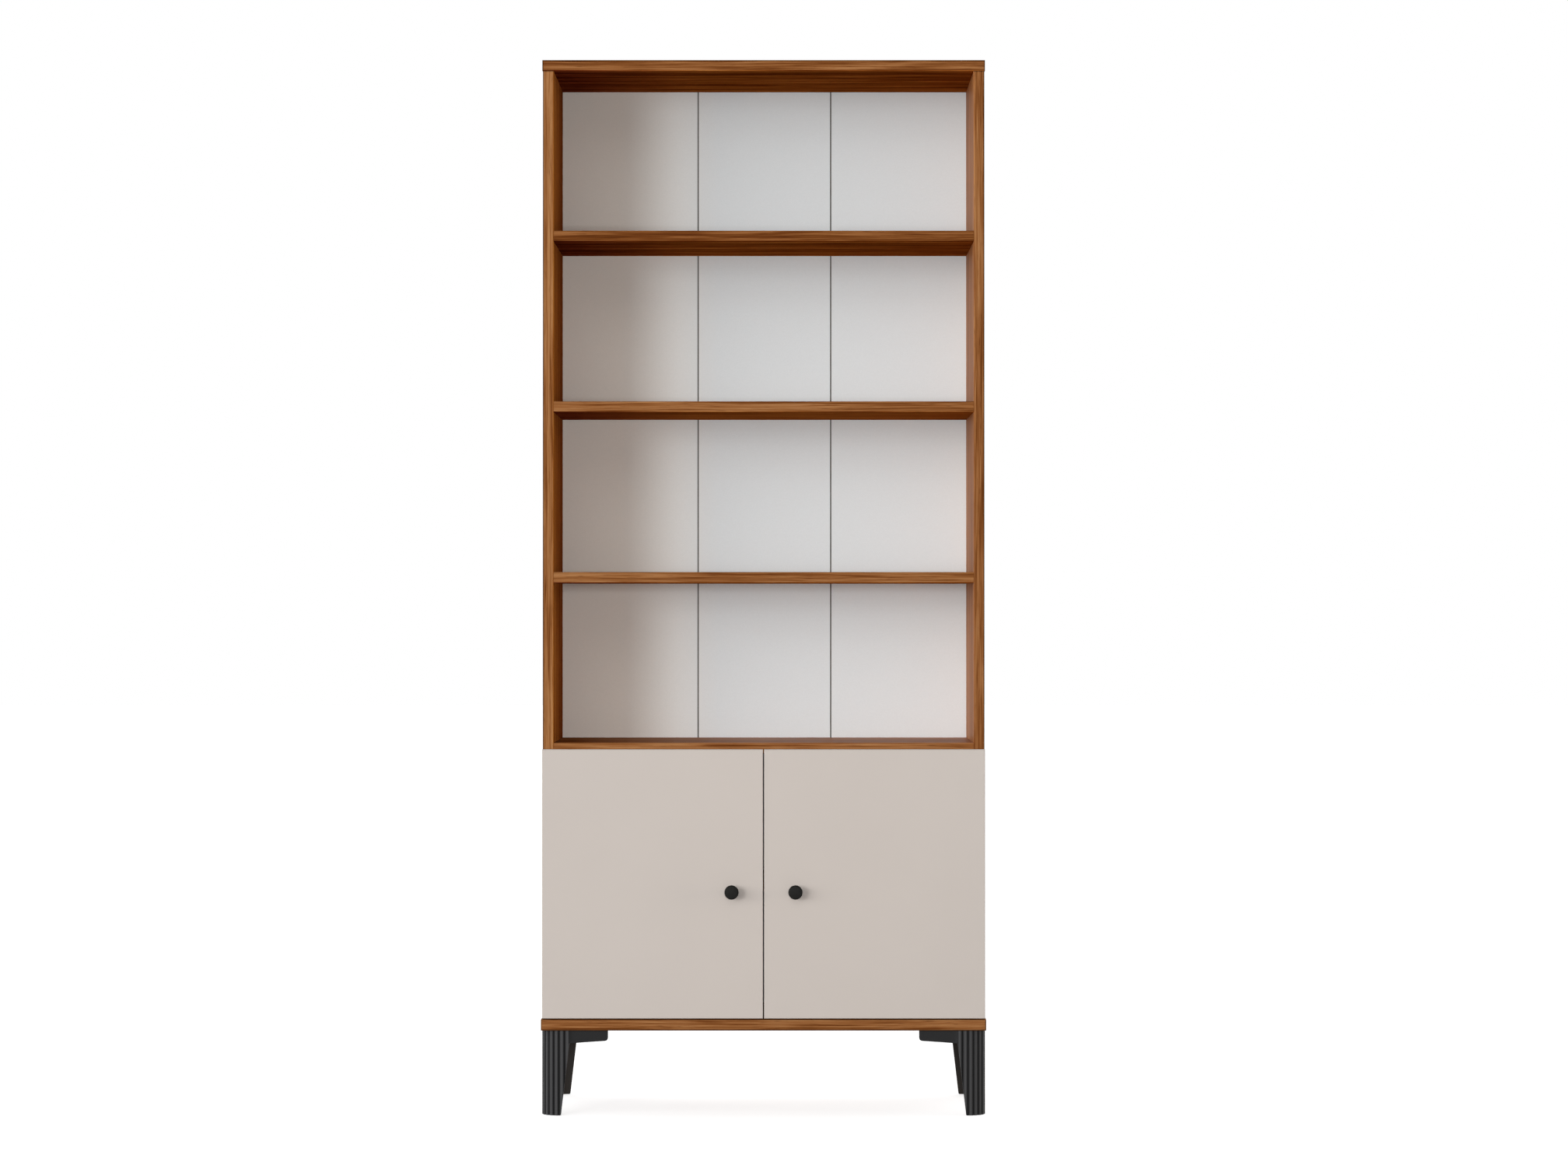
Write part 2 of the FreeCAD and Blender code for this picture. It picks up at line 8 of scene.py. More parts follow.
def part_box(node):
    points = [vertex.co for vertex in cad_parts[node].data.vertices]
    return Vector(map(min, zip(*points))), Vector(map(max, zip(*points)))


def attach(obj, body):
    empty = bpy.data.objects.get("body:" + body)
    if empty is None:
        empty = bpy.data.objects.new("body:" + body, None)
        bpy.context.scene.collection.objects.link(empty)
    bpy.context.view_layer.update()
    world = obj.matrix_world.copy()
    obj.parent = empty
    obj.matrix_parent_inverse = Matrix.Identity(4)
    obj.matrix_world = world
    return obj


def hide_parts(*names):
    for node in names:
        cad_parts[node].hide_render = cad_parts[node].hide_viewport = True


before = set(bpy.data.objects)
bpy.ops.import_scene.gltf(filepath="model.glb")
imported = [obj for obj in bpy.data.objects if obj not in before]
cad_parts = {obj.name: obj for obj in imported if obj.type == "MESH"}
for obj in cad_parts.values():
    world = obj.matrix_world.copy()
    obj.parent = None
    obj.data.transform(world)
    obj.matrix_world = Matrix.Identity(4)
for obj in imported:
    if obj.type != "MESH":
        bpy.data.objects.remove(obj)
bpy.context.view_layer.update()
mm = 0.001
sideSigns = {"left": -1, "right": 1}
hingeLevels = ["lower", "upper"]
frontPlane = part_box("cabinet_top")[0].y      # front edges of the carcass boards
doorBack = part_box("left_door")[1].y
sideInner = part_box("right_side_panel")[0].x  # inner face of a side board, from the middle


def middleOf(nodeName):
    low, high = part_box(nodeName)
    return (low + high) / 2


# Short ways to build node trees
def feed(tree, socket, given):
    if isinstance(given, bpy.types.NodeSocket):
        tree.links.new(given, socket)
    else:
        socket.default_value = given


def addNode(tree, kind, given=None, **settings):
    # given: input name or number, and a value or another node's socket
    node = tree.nodes.new(kind)
    for name, setting in settings.items():
        setattr(node, name, setting)
    for label, value in (given or {}).items():
        feed(tree, node.inputs[label], value)
    return node


def join(tree, kind, given, **settings):
    return addNode(tree, kind, given, **settings).outputs[0]


def calc(tree, operation, *terms, clamp=False):
    return join(tree, "ShaderNodeMath", dict(enumerate(terms)), operation=operation, use_clamp=clamp)


def times(tree, first, second):
    return calc(tree, "MULTIPLY", first, second)


def squared(tree, given):
    return calc(tree, "POWER", given, 2.0)


def remap(tree, given, fromLow, fromHigh, toLow=0.0, toHigh=1.0):
    spans = {"Value": given, "From Min": fromLow, "From Max": fromHigh, "To Min": toLow, "To Max": toHigh}
    return join(tree, "ShaderNodeMapRange", spans, clamp=True)


def opaque(color):
    return color if isinstance(color, bpy.types.NodeSocket) else (*color, 1.0)


def mixColor(tree, factor, first, second, blend="MIX"):
    # the mix node's colour sockets go by number, because its other kinds share their names
    given = {0: factor, 6: opaque(first), 7: opaque(second)}
    return addNode(tree, "ShaderNodeMix", given, data_type="RGBA", blend_type=blend).outputs[2]


def placed(tree, vector, scale=(1, 1, 1), location=(0, 0, 0), turn=(0, 0, 0)):
    given = {"Vector": vector, "Location": location, "Rotation": turn, "Scale": scale}
    return join(tree, "ShaderNodeMapping", given)


def noise(tree, vector, scale, detail=2.0, rough=0.5):
    given = {"Vector": vector, "Scale": scale, "Detail": detail, "Roughness": rough}
    return join(tree, "ShaderNodeTexNoise", given)


def ramp(tree, factor, stops):
    node = addNode(tree, "ShaderNodeValToRGB", {0: factor})
    elements = node.color_ramp.elements
    while len(elements) < len(stops):
        elements.new(1.0)
    for element, (position, color) in zip(elements, stops):
        element.position = position
        element.color = opaque(color)
    return node.outputs[0]


def partsOf(tree, vector):
    return addNode(tree, "ShaderNodeSeparateXYZ", {0: vector}).outputs


def vectorOf(tree, x=0.0, y=0.0, z=0.0):
    return join(tree, "ShaderNodeCombineXYZ", {0: x, 1: y, 2: z})


def srgb(*levels):
    shares = [level / 255 for level in levels]
    return tuple(share / 12.92 if share <= 0.04045 else ((share + 0.055) / 1.055) ** 2.4 for share in shares)


def newGroup(name, kind, inputs, outputs):
    group = bpy.data.node_groups.new(name, kind)
    for direction, sockets in (("INPUT", inputs), ("OUTPUT", outputs)):
        for label, socketKind in sockets.items():
            group.interface.new_socket(name=label, in_out=direction, socket_type="NodeSocket" + socketKind)
    entry = group.nodes.new("NodeGroupInput").outputs
    leave = group.nodes.new("NodeGroupOutput").inputs
    return group, entry, leave


def useGroup(tree, group, given):
    return addNode(tree, "ShaderNodeGroup", given, node_tree=group).outputs


# Walnut figure: X runs along the grain, lengths in metres
walnutLook = {
    "stops": [(0.18, srgb(70, 32, 11)), (0.42, srgb(110, 62, 27)), (0.56, srgb(141, 90, 50)),
              (0.8, srgb(171, 122, 78))],
    "sway": (1.6, 9, 9),
    "warp": 0.005,             # how far the grain wanders sideways
    "bands": {"scale": (1.1, 30, 30), "detail": 2.0},
    "streaks": [               # finer than the bands
        {"scale": (5, 190, 190), "share": 0.5, "detail": 3.0},
        {"scale": (8, 480, 480), "share": 0.4, "detail": 2.0},
        {"scale": (14, 1100, 1100), "share": 0.12, "detail": 2.0},
    ],
    "streakRough": 0.6,
    "pores": (42, 900, 900),
    "poreSpan": (0.62, 0.74),  # a pore sets in where its noise passes these levels
    "poreStrength": 0.45,
    "poreDepth": 0.6,
    "toneSpan": (0.3, 0.8),    # dark to light wood, which is the smoother one
    "roughness": (0.55, 0.42),
}
noiseMiddle = 0.5


def makeWalnutFigure():
    look = walnutLook
    group, entry, leave = newGroup(
        "walnutFigure", "ShaderNodeTree",
        {"Vector": "Vector", "Tone": "Float", "Contrast": "Float", "Bands": "Float"},
        {"Color": "Color", "Roughness": "Float", "Height": "Float"})

    def drawn(vector, scale, detail=1.0, rough=0.5):
        return noise(group, placed(group, vector, scale), 1.0, detail, rough)

    def aboutZero(given):
        return calc(group, "SUBTRACT", given, noiseMiddle)

    sway = times(group, aboutZero(drawn(entry["Vector"], look["sway"])), look["warp"] * 2)
    shift = vectorOf(group, y=sway, z=sway)
    grain = join(group, "ShaderNodeVectorMath", {0: entry["Vector"], 1: shift}, operation="ADD")
    bands = drawn(grain, look["bands"]["scale"], look["bands"]["detail"], look["streakRough"])
    total = times(group, aboutZero(bands), entry["Bands"])
    for streak in look["streaks"]:
        fibres = drawn(grain, streak["scale"], streak["detail"], look["streakRough"])
        total = calc(group, "MULTIPLY_ADD", aboutZero(fibres), streak["share"], total)
    total = calc(group, "MULTIPLY_ADD", total, entry["Contrast"], entry["Tone"])
    pores = remap(group, drawn(grain, look["pores"]), *look["poreSpan"])
    darkest = look["stops"][0][1]
    color = mixColor(group, times(group, pores, look["poreStrength"]),
                     ramp(group, total, look["stops"]), darkest)
    feed(group, leave["Color"], color)
    feed(group, leave["Roughness"], remap(group, total, *look["toneSpan"], *look["roughness"]))
    feed(group, leave["Height"], calc(group, "MULTIPLY_ADD", pores, -look["poreDepth"], fibres))
    return group


# Distance to the nearest arris of a box, turned into a mask that is 1 on the arris
def makeArrisLine():
    group, entry, leave = newGroup(
        "arrisLine", "ShaderNodeTree",
        {"Vector": "Vector", "Low": "Vector", "High": "Vector", "Width": "Float"},
        {"Mask": "Float"})
    here, low, high = [partsOf(group, entry[label]) for label in ("Vector", "Low", "High")]
    gaps = []
    for axis in range(3):
        fromLow = calc(group, "SUBTRACT", here[axis], low[axis])
        fromHigh = calc(group, "SUBTRACT", high[axis], here[axis])
        gaps.append(calc(group, "ABSOLUTE", calc(group, "MINIMUM", fromLow, fromHigh)))
    smaller = calc(group, "MINIMUM", gaps[0], gaps[1])
    larger = calc(group, "MAXIMUM", gaps[0], gaps[1])
    second = calc(group, "MAXIMUM", smaller, calc(group, "MINIMUM", larger, gaps[2]))  # the middle of three
    share = calc(group, "DIVIDE", second, entry["Width"])
    feed(group, leave["Mask"], calc(group, "SUBTRACT", 1.0, share, clamp=True))
    return group


# Fine grain and broad cloud for paint, plastic, steel, felt and board films
def makeFilmGrain():
    group, entry, leave = newGroup(
        "filmGrain", "ShaderNodeTree",
        {"Vector": "Vector", "Grain Scale": "Float", "Cloud Scale": "Float"},
        {"Grain": "Float", "Cloud": "Float"})
    feed(group, leave["Grain"], noise(group, entry["Vector"], entry["Grain Scale"], detail=3.0, rough=0.6))
    feed(group, leave["Cloud"], noise(group, entry["Vector"], entry["Cloud Scale"], detail=2.0))
    return group


walnutFigure = makeWalnutFigure()
arrisLine = makeArrisLine()
filmGrain = makeFilmGrain()
grainSpan = (0.3, 0.7)   # most of the noise lies between these levels
speckSpan = (0.35, 0.7)  # for specks rather than an even mottle


def newMaterial(name, constants):
    material = bpy.data.materials.new(name)
    material.use_nodes = True
    tree = material.node_tree
    shader = tree.nodes["Principled BSDF"]
    for label, setting in constants.items():
        shader.inputs[label].default_value = setting
    spot = addNode(tree, "ShaderNodeTexCoord").outputs["Object"]
    return material, tree, shader.inputs, spot


def bump(tree, inputs, height, strength, distance):
    node = addNode(tree, "ShaderNodeBump", {"Strength": strength, "Distance": distance, "Height": height})
    feed(tree, inputs["Normal"], node.outputs["Normal"])


def filmOf(tree, vector, look):
    return useGroup(tree, filmGrain, {
        "Vector": vector, "Grain Scale": look["grain"], "Cloud Scale": look["cloud"]})


def arrisMask(tree, spot, nodeName, line, plain=(0, 0, 0)):
    # plain points to a face whose arrises stay unmarked: its plane moves out of reach
    low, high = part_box(nodeName)
    for axis, step in enumerate(plain):
        low[axis] += min(step, 0)
        high[axis] += max(step, 0)
    mask = useGroup(tree, arrisLine, {"Vector": spot, "Low": low, "High": high, "Width": line["width"]})
    return times(tree, mask["Mask"], line["strength"])


def wear(nodeName, material):
    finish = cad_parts[nodeName].data.materials
    finish.clear()
    finish.append(material)


# Boards: tone moves a board's figure lighter or darker, shift moves it to another stretch of veneer
boards = {
    "top_panel": {"tone": 0.478, "shift": (0.3, 0.11, 0.02), "plain": (0, 0, -1)},
    "upper_shelf": {"tone": 0.475, "shift": (1.7, 0.42, 0.31), "faint": True},
    "middle_shelf": {"tone": 0.56, "shift": (3.1, 0.93, 0.77), "faint": True},
    "lower_shelf": {"tone": 0.55, "shift": (4.6, 1.31, 1.12), "faint": True},
    "cabinet_top": {"tone": 0.56, "shift": (6.2, 1.77, 1.46), "faint": True, "paintedSheen": 0.38},
    "cabinet_shelf": {"tone": 0.52, "shift": (7.9, 2.21, 1.83), "faint": True},
    "bottom_panel": {"tone": 0.557, "shift": (9.9, 2.71, 2.25), "plain": (0, 0, 1)},
    "left_side_panel": {"tone": 0.585, "shift": (11.3, 3.07, 2.61), "upright": True, "plain": (1, 0, 0),
                        "shaded": True},
    "right_side_panel": {"tone": 0.565, "shift": (13.2, 3.52, 3.33), "upright": True, "plain": (-1, 0, 0),
                         "paintedSheen": 0.36},
}
# Painted light and shade: undersides painted a deeper, darker red, more so towards the left; the left board's
# inner face painted lighter at the front and darker towards the back
paintedLightTints = {
    "under": (1.33, 0.95, 0.47),
    "underLeftShade": (0.8, 0.4, 0.35),
    "underSpan": (-0.33, -0.12),  # across the bookcase, from the left painted shade to the other
    "inner": (1.65, 1.42, 0.8),
    "innerDeepShade": (1.0, 0.62, 0.4),
}
# Painted sheen: on the right board's inner face and the deck's top, a lighter base colour stands in for a
# reflection, beside a real coat, both growing from left to right
paintedSheen = {"tint": (1.45, 1.4, 1.35), "span": (-0.33, -0.02), "roughness": 0.35}
figureOn = {
    "edge": {"contrast": 1.6, "bands": 0.16},  # the edges that face the front
    "face": {"contrast": 1.2, "bands": 0.36},
    "under": {"contrast": 2.2},
    "bump": (0.25, 0.15 * mm),                 # strength, depth
}
# Painted shade: a dark line along the boards' arrises
arrisShade = {
    "color": srgb(46, 24, 11),
    "strong": {"width": 2.6 * mm, "strength": 1.0},
    "faint": {"width": 0.9 * mm, "strength": 0.45},
}
turnedTo = 0.5  # a normal's part along an axis from which a face counts as turned that way


def boardFigure(tree, spot, look, facing, under):
    edgeOn = calc(tree, "ABSOLUTE", facing["Y"])
    contrast = remap(tree, edgeOn, 0.0, 1.0, figureOn["face"]["contrast"], figureOn["edge"]["contrast"])
    contrast = calc(tree, "MAXIMUM", contrast, times(tree, under, figureOn["under"]["contrast"]))
    bands = remap(tree, edgeOn, 0.0, 1.0, figureOn["face"]["bands"], figureOn["edge"]["bands"])
    turn = (0, math.radians(90), 0) if "upright" in look else (0, 0, 0)
    return useGroup(tree, walnutFigure, {
        "Vector": placed(tree, spot, location=look["shift"], turn=turn), "Tone": look["tone"],
        "Contrast": contrast, "Bands": bands})


def walnutBoard(nodeName, look):
    material, tree, inputs, spot = newMaterial("walnut_" + nodeName, {"Specular IOR Level": 0.0})
    facing = partsOf(tree, addNode(tree, "ShaderNodeNewGeometry").outputs["Normal"])
    here = partsOf(tree, spot)
    under = calc(tree, "LESS_THAN", facing["Z"], -turnedTo)
    figure = boardFigure(tree, spot, look, facing, under)
    # painted shade on the undersides, darker towards the left
    middle = remap(tree, here["X"], *paintedLightTints["underSpan"])
    paintedLightTint = mixColor(tree, middle, paintedLightTints["underLeftShade"], paintedLightTints["under"])
    color = mixColor(tree, under, figure["Color"], paintedLightTint, "MULTIPLY")
    if "shaded" in look:
        # painted light on the left board's inner face at the front, fading to painted shade towards the back
        low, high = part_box(nodeName)
        inner = calc(tree, "GREATER_THAN", facing["X"], turnedTo)
        depth = remap(tree, here["Y"], low.y, high.y)
        paintedLightTint = mixColor(tree, depth, paintedLightTints["inner"], paintedLightTints["innerDeepShade"])
        color = mixColor(tree, inner, color, paintedLightTint, "MULTIPLY")
    if "paintedSheen" in look:
        # painted sheen: the lit faces' colour is lightened as a painted reflection
        lit = calc(tree, "MAXIMUM", calc(tree, "LESS_THAN", facing["X"], -turnedTo),
                   calc(tree, "GREATER_THAN", facing["Z"], turnedTo))
        lit = times(tree, lit, remap(tree, here["X"], *paintedSheen["span"]))
        color = mixColor(tree, lit, color, paintedSheen["tint"], "MULTIPLY")
        feed(tree, inputs["Coat Weight"], times(tree, lit, look["paintedSheen"]))
        inputs["Coat Roughness"].default_value = paintedSheen["roughness"]
    # painted shade along the arrises
    line = arrisShade["faint" if "faint" in look else "strong"]
    line = arrisMask(tree, spot, nodeName, line, look.get("plain", (0, 0, 0)))
    feed(tree, inputs["Base Color"], mixColor(tree, line, color, arrisShade["color"]))
    feed(tree, inputs["Roughness"], figure["Roughness"])
    bump(tree, inputs, figure["Height"], *figureOn["bump"])
    return material


for boardName, boardLook in boards.items():
    wear(boardName, walnutBoard(boardName, boardLook))
print("boards: walnut on", len(boards))


# Plain finishes: two colours mottled by the cloud or the grain, while the other one sets the roughness
otherNoise = {"Cloud": "Grain", "Grain": "Cloud"}


def filmFinish(name, look, arrisLined=None):
    # the node named here gets a darker line along its arrises
    material, tree, inputs, spot = newMaterial(name, look.get("constants", {}))
    film = filmOf(tree, placed(tree, spot, look["stretch"]) if "stretch" in look else spot, look)
    blend = remap(tree, film[look["mottle"]], *look.get("mottleSpan", (0.0, 1.0)))
    color = mixColor(tree, blend, *look["colors"])
    if arrisLined:
        color = mixColor(tree, arrisMask(tree, spot, arrisLined, look["edge"]), color, look["edge"]["color"])
    feed(tree, inputs["Base Color"], color)
    other = film[otherNoise[look["mottle"]]]
    feed(tree, inputs["Roughness"], remap(tree, other, *grainSpan, *look["roughness"]))
    bump(tree, inputs, film["Grain"], *look["bump"])
    return material


# Doors: matte taupe film with a darker line along the arrises
doorLook = {
    "colors": (srgb(199, 190, 183), srgb(194, 185, 178)),
    "mottle": "Cloud",
    "grain": 1400.0,
    "cloud": 5.0,
    "roughness": (0.5, 0.62),
    "bump": (0.12, 0.08 * mm),
    "edge": {"color": srgb(160, 151, 144), "width": 0.6 * mm, "strength": 0.25},
    "constants": {"Specular IOR Level": 0.2},
}
for doorName in ("left_door", "right_door"):
    wear(doorName, filmFinish("taupe_" + doorName, doorLook, arrisLined=doorName))


# Back: painted face in front, bare pressed fibre with its screen marks behind
backLook = {
    "paint": srgb(231, 237, 239),
    "paintedWarmBounce": srgb(246, 240, 230),  # painted warm bounce light towards the left, in the side's shadow
    "warmBounceSpan": (-0.08, -0.26),
    "mottle": 0.015,
    "topShade": 0.9,                   # painted shade: the paint's level at the top, against 1 below topFrom
    "topFrom": 1.25,
    "fibre": srgb(168, 130, 91),
    "fibreDark": srgb(126, 92, 60),
    "grain": 420.0,
    "cloud": 3.0,
    "roughness": (0.5, 0.8),           # paint, fibre
    "screenPitch": 2.4 * mm,
    "screenRelief": 0.8,
    "bump": (0.3, 0.12 * mm),
}


def hardboard():
    look = backLook
    material, tree, inputs, spot = newMaterial("hardboard", {"Specular IOR Level": 0.2})
    film = filmOf(tree, spot, look)
    here = partsOf(tree, spot)
    low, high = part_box("center_back_panel")
    # painted warm bounce light in the left side's shadow
    warmBounce = remap(tree, here["X"], *look["warmBounceSpan"])
    paint = mixColor(tree, warmBounce, look["paint"], look["paintedWarmBounce"])
    # painted shade, darker towards the top
    paintedTopShade = remap(tree, here["Z"], look["topFrom"], high.z, 1.0, look["topShade"])
    mottle = remap(tree, film["Grain"], *grainSpan, 1 - look["mottle"], 1 + look["mottle"])
    paint = mixColor(tree, 1.0, paint, times(tree, paintedTopShade, mottle), "MULTIPLY")
    fibre = mixColor(tree, remap(tree, film["Grain"], *speckSpan), look["fibre"], look["fibreDark"])
    behind = calc(tree, "GREATER_THAN", here["Y"], (low.y + high.y) / 2)
    feed(tree, inputs["Base Color"], mixColor(tree, behind, paint, fibre))
    feed(tree, inputs["Roughness"], remap(tree, behind, 0.0, 1.0, *look["roughness"]))
    waves = 2 * math.pi / look["screenPitch"]
    beats = [calc(tree, "SINE", times(tree, here[axis], waves)) for axis in ("X", "Z")]
    screen = times(tree, times(tree, *beats), behind)
    bump(tree, inputs, calc(tree, "MULTIPLY_ADD", screen, look["screenRelief"], film["Grain"]), *look["bump"])
    return material


backMaterial = hardboard()
for panelName in ("left_back_panel", "center_back_panel", "right_back_panel"):
    wear(panelName, backMaterial)

tapeLook = {
    "colors": (srgb(96, 92, 89), srgb(120, 116, 112)),
    "mottle": "Cloud",
    "grain": 900.0,
    "cloud": 14.0,
    "roughness": (0.45, 0.6),
    "bump": (0.2, 0.05 * mm),
}
wear("back_joint_tapes", filmFinish("joint_tape", tapeLook))
print("doors and back: films on")

# Moulded plastic of the legs, knob paint, plated steel and felt
plasticLook = {
    "valley": srgb(13, 13, 14),
    "crest": srgb(73, 73, 74),
    "falloff": 2.6,             # how fast the painted shade drops from crest to valley
    "fleck": 0.9,
    "rear": (1.1, 0.95, 0.82),  # painted warm reflection tinting the rear legs
    "grain": 2200.0,
    "cloud": 18.0,
    "roughness": (0.36, 0.46),
    "bump": (0.15, 0.1 * mm),
}
knobLook = {
    "colors": (srgb(15, 16, 15), srgb(30, 28, 25)),
    "mottle": "Grain",
    "mottleSpan": speckSpan,
    "grain": 900.0,
    "cloud": 18.0,
    "roughness": (0.42, 0.55),
    "bump": (0.35, 0.1 * mm),
    "constants": {"Specular IOR Level": 0.08},
}
steelLook = {
    "colors": (srgb(196, 194, 190), srgb(165, 162, 157)),
    "mottle": "Cloud",
    "stretch": (1, 1, 12),
    "grain": 500.0,
    "cloud": 30.0,
    "roughness": (0.24, 0.38),
    "bump": (0.06, 0.05 * mm),
    "constants": {"Metallic": 1.0},
}
feltLook = {
    "colors": (srgb(205, 200, 193), srgb(150, 145, 138)),
    "mottle": "Grain",
    "grain": 2600.0,
    "cloud": 300.0,
    "roughness": (0.85, 0.95),
    "bump": (0.6, 0.2 * mm),
    "constants": {"Sheen Weight": 0.4, "Sheen Roughness": 0.6},
}


def reededPlastic():
    # the legs' meshes carry how far a spot stands out of its valley
    look = plasticLook
    material, tree, inputs, spot = newMaterial("black_plastic", {"Specular IOR Level": 0.06})
    film = filmOf(tree, spot, look)
    stand = addNode(tree, "ShaderNodeAttribute", attribute_name="stand").outputs["Fac"]
    fleck = remap(tree, film["Grain"], *grainSpan, look["fleck"], 1.0)
    stand = times(tree, calc(tree, "POWER", stand, look["falloff"]), fleck)
    # painted shade in the reeds' valleys and painted highlight on their crests
    color = mixColor(tree, stand, look["valley"], look["crest"])
    # painted warm reflection on the rear legs
    rear = calc(tree, "GREATER_THAN", partsOf(tree, spot)["Y"], 0.0)
    feed(tree, inputs["Base Color"], mixColor(tree, rear, color, look["rear"], "MULTIPLY"))
    feed(tree, inputs["Roughness"], remap(tree, film["Cloud"], *grainSpan, *look["roughness"]))
    bump(tree, inputs, film["Grain"], *look["bump"])
    return material


blackPlastic = reededPlastic()
knobPaint = filmFinish("knob_paint", knobLook)
nickel = filmFinish("plated_steel", steelLook)
felt = filmFinish("felt_pad", feltLook)
for sideName in sideSigns:
    wear(sideName + "_hinge_cups", nickel)
    for level in hingeLevels:
        for part in ("hinge_plate", "hinge_arm", "hinge_link", "guide_link"):
            wear(f"{sideName}_{level}_{part}", nickel)


# Meshes made here
mergeGap = 0.002 * mm


def addObject(name, data):
    added = bpy.data.objects.new(name, data)
    bpy.context.scene.collection.objects.link(added)
    return added


def newPiece(name, mesh, material, body, slot, *stoodFor):
    mesh.name = name
    mesh.materials.clear()
    mesh.materials.append(material)
    piece = addObject(name, mesh)
    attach(piece, body)
    if stoodFor:
        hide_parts(*stoodFor)
    return piece


def shadeSmooth(mesh, sharpFrom):
    # sharpFrom: the angle in degrees from which an edge stays sharp
    mesh.polygons.foreach_set("use_smooth", [True] * len(mesh.polygons))
    mesh.set_sharp_from_angle(angle=math.radians(sharpFrom))
    return mesh


def meshFrom(work):
    bmesh.ops.remove_doubles(work, verts=work.verts, dist=mergeGap)
    bmesh.ops.recalc_face_normals(work, faces=work.faces)
    mesh = bpy.data.meshes.new("work")
    work.to_mesh(mesh)
    work.free()
    return mesh


def addStack(work, rings):
    # a closed skin over rings of corners
    for near, far in zip(rings, rings[1:]):
        for step in range(len(near)):
            following = (step + 1) % len(near)
            work.faces.new((near[step], near[following], far[following], far[step]))
    for ring in (rings[0], rings[-1]):
        work.faces.new(ring)


def addTurned(work, profile, base, direction, steps):
    # profile: (radius, distance along direction); both ends are closed
    turn = Vector((0, 0, 1)).rotation_difference(Vector(direction)).to_matrix().to_4x4()
    place = Matrix.Translation(base) @ turn
    angles = [2 * math.pi * step / steps for step in range(steps)]
    rings = []
    for radius, along in profile:
        circle = [(radius * math.cos(angle), radius * math.sin(angle), along) for angle in angles]
        rings.append([work.verts.new(place @ Vector(spot)) for spot in circle])
    addStack(work, rings)


def arcPoints(center, radius, startDegrees, stopDegrees, count):
    points = []
    for step in range(count + 1):
        angle = math.radians(startDegrees + (stopDegrees - startDegrees) * step / count)
        points.append((center[0] + radius * math.cos(angle), center[1] + radius * math.sin(angle)))
    return points


# Knobs: turned in one piece, a slim neck under a softly crowned head
knob = {
    "steps": 64,
    "neck": 6.0 * mm,
    "neckFlare": 2.6 * mm,
    "headBack": 14.0 * mm,
    "backRound": 1.4 * mm,
    "rimRound": 2.2 * mm,
    "rimStop": 78,      # degrees of the rim's round, where the crown takes over
    "arcSteps": {"flare": 6, "back": 5, "rim": 6},
    "crown": 0.9 * mm,
    "crownRings": 6,
    "tipShare": 0.04,   # of the rim's radius, for the flat in the crown's middle
    "sharpFrom": 40,
}


def knobProfile(reach, radius):
    flare, back, rim = knob["neckFlare"], knob["backRound"], knob["rimRound"]
    steps = knob["arcSteps"]
    edge = reach - knob["crown"]
    points = [(knob["neck"], 0.0)]
    points += arcPoints((knob["neck"] + flare, knob["headBack"] - flare), flare, 180, 90, steps["flare"])
    points += arcPoints((radius - back, knob["headBack"] + back), back, -90, 0, steps["back"])
    points += arcPoints((radius - rim, edge - rim), rim, 0, knob["rimStop"], steps["rim"])
    rimRadius, rimHeight = points[-1]
    for step in range(1, knob["crownRings"]):
        share = 1 - step / knob["crownRings"]
        points.append((rimRadius * share, rimHeight + (reach - rimHeight) * (1 - share ** 2)))
    return points + [(rimRadius * knob["tipShare"], reach)]


for sideName in sideSigns:
    low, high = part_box(sideName + "_knob")
    work = bmesh.new()
    center = middleOf(sideName + "_knob")
    profile = knobProfile(high.y - low.y, (high.x - low.x) / 2)
    addTurned(work, profile, (center.x, high.y, center.z), (0, -1, 0), knob["steps"])
    newPiece(sideName + "KnobTurned", shadeSmooth(meshFrom(work), knob["sharpFrom"]), knobPaint,
             sideName + "_door", "knob_black", sideName + "_knob")
print("knobs: turned")


# Geometry Nodes: every tree ends in plain faces with their finish on, and a draft object bakes it
def geometryGroup(name, inputs):
    group, entry, leave = newGroup(
        name, "GeometryNodeTree", {"Geometry": "Geometry", **inputs, "Finish": "Material"},
        {"Geometry": "Geometry"})
    group.is_modifier = True
    return group, entry, leave


def endTree(group, entry, leave, geometry):
    solid = join(group, "GeometryNodeRealizeInstances", {"Geometry": geometry})
    solid = join(group, "GeometryNodeSetMaterial", {"Geometry": solid, "Material": entry["Finish"]})
    feed(group, leave["Geometry"], solid)
    return group


def named(tree, label, kind):
    node = addNode(tree, "GeometryNodeInputNamedAttribute", {"Name": label}, data_type=kind)
    return node.outputs["Attribute"]


def bake(draft):
    graph = bpy.context.evaluated_depsgraph_get()
    mesh = bpy.data.meshes.new_from_object(draft.evaluated_get(graph), depsgraph=graph)
    draft.modifiers.clear()
    bpy.data.objects.remove(draft)
    return mesh


def grow(mesh, group, given):
    draft = addObject("draft", mesh)
    modifier = draft.modifiers.new(group.name, "NODES")
    modifier.node_group = group
    for item in group.interface.items_tree:
        if item.item_type == "SOCKET" and item.in_out == "INPUT" and item.name in given:
            modifier[item.identifier] = given[item.name]
    return bake(draft)


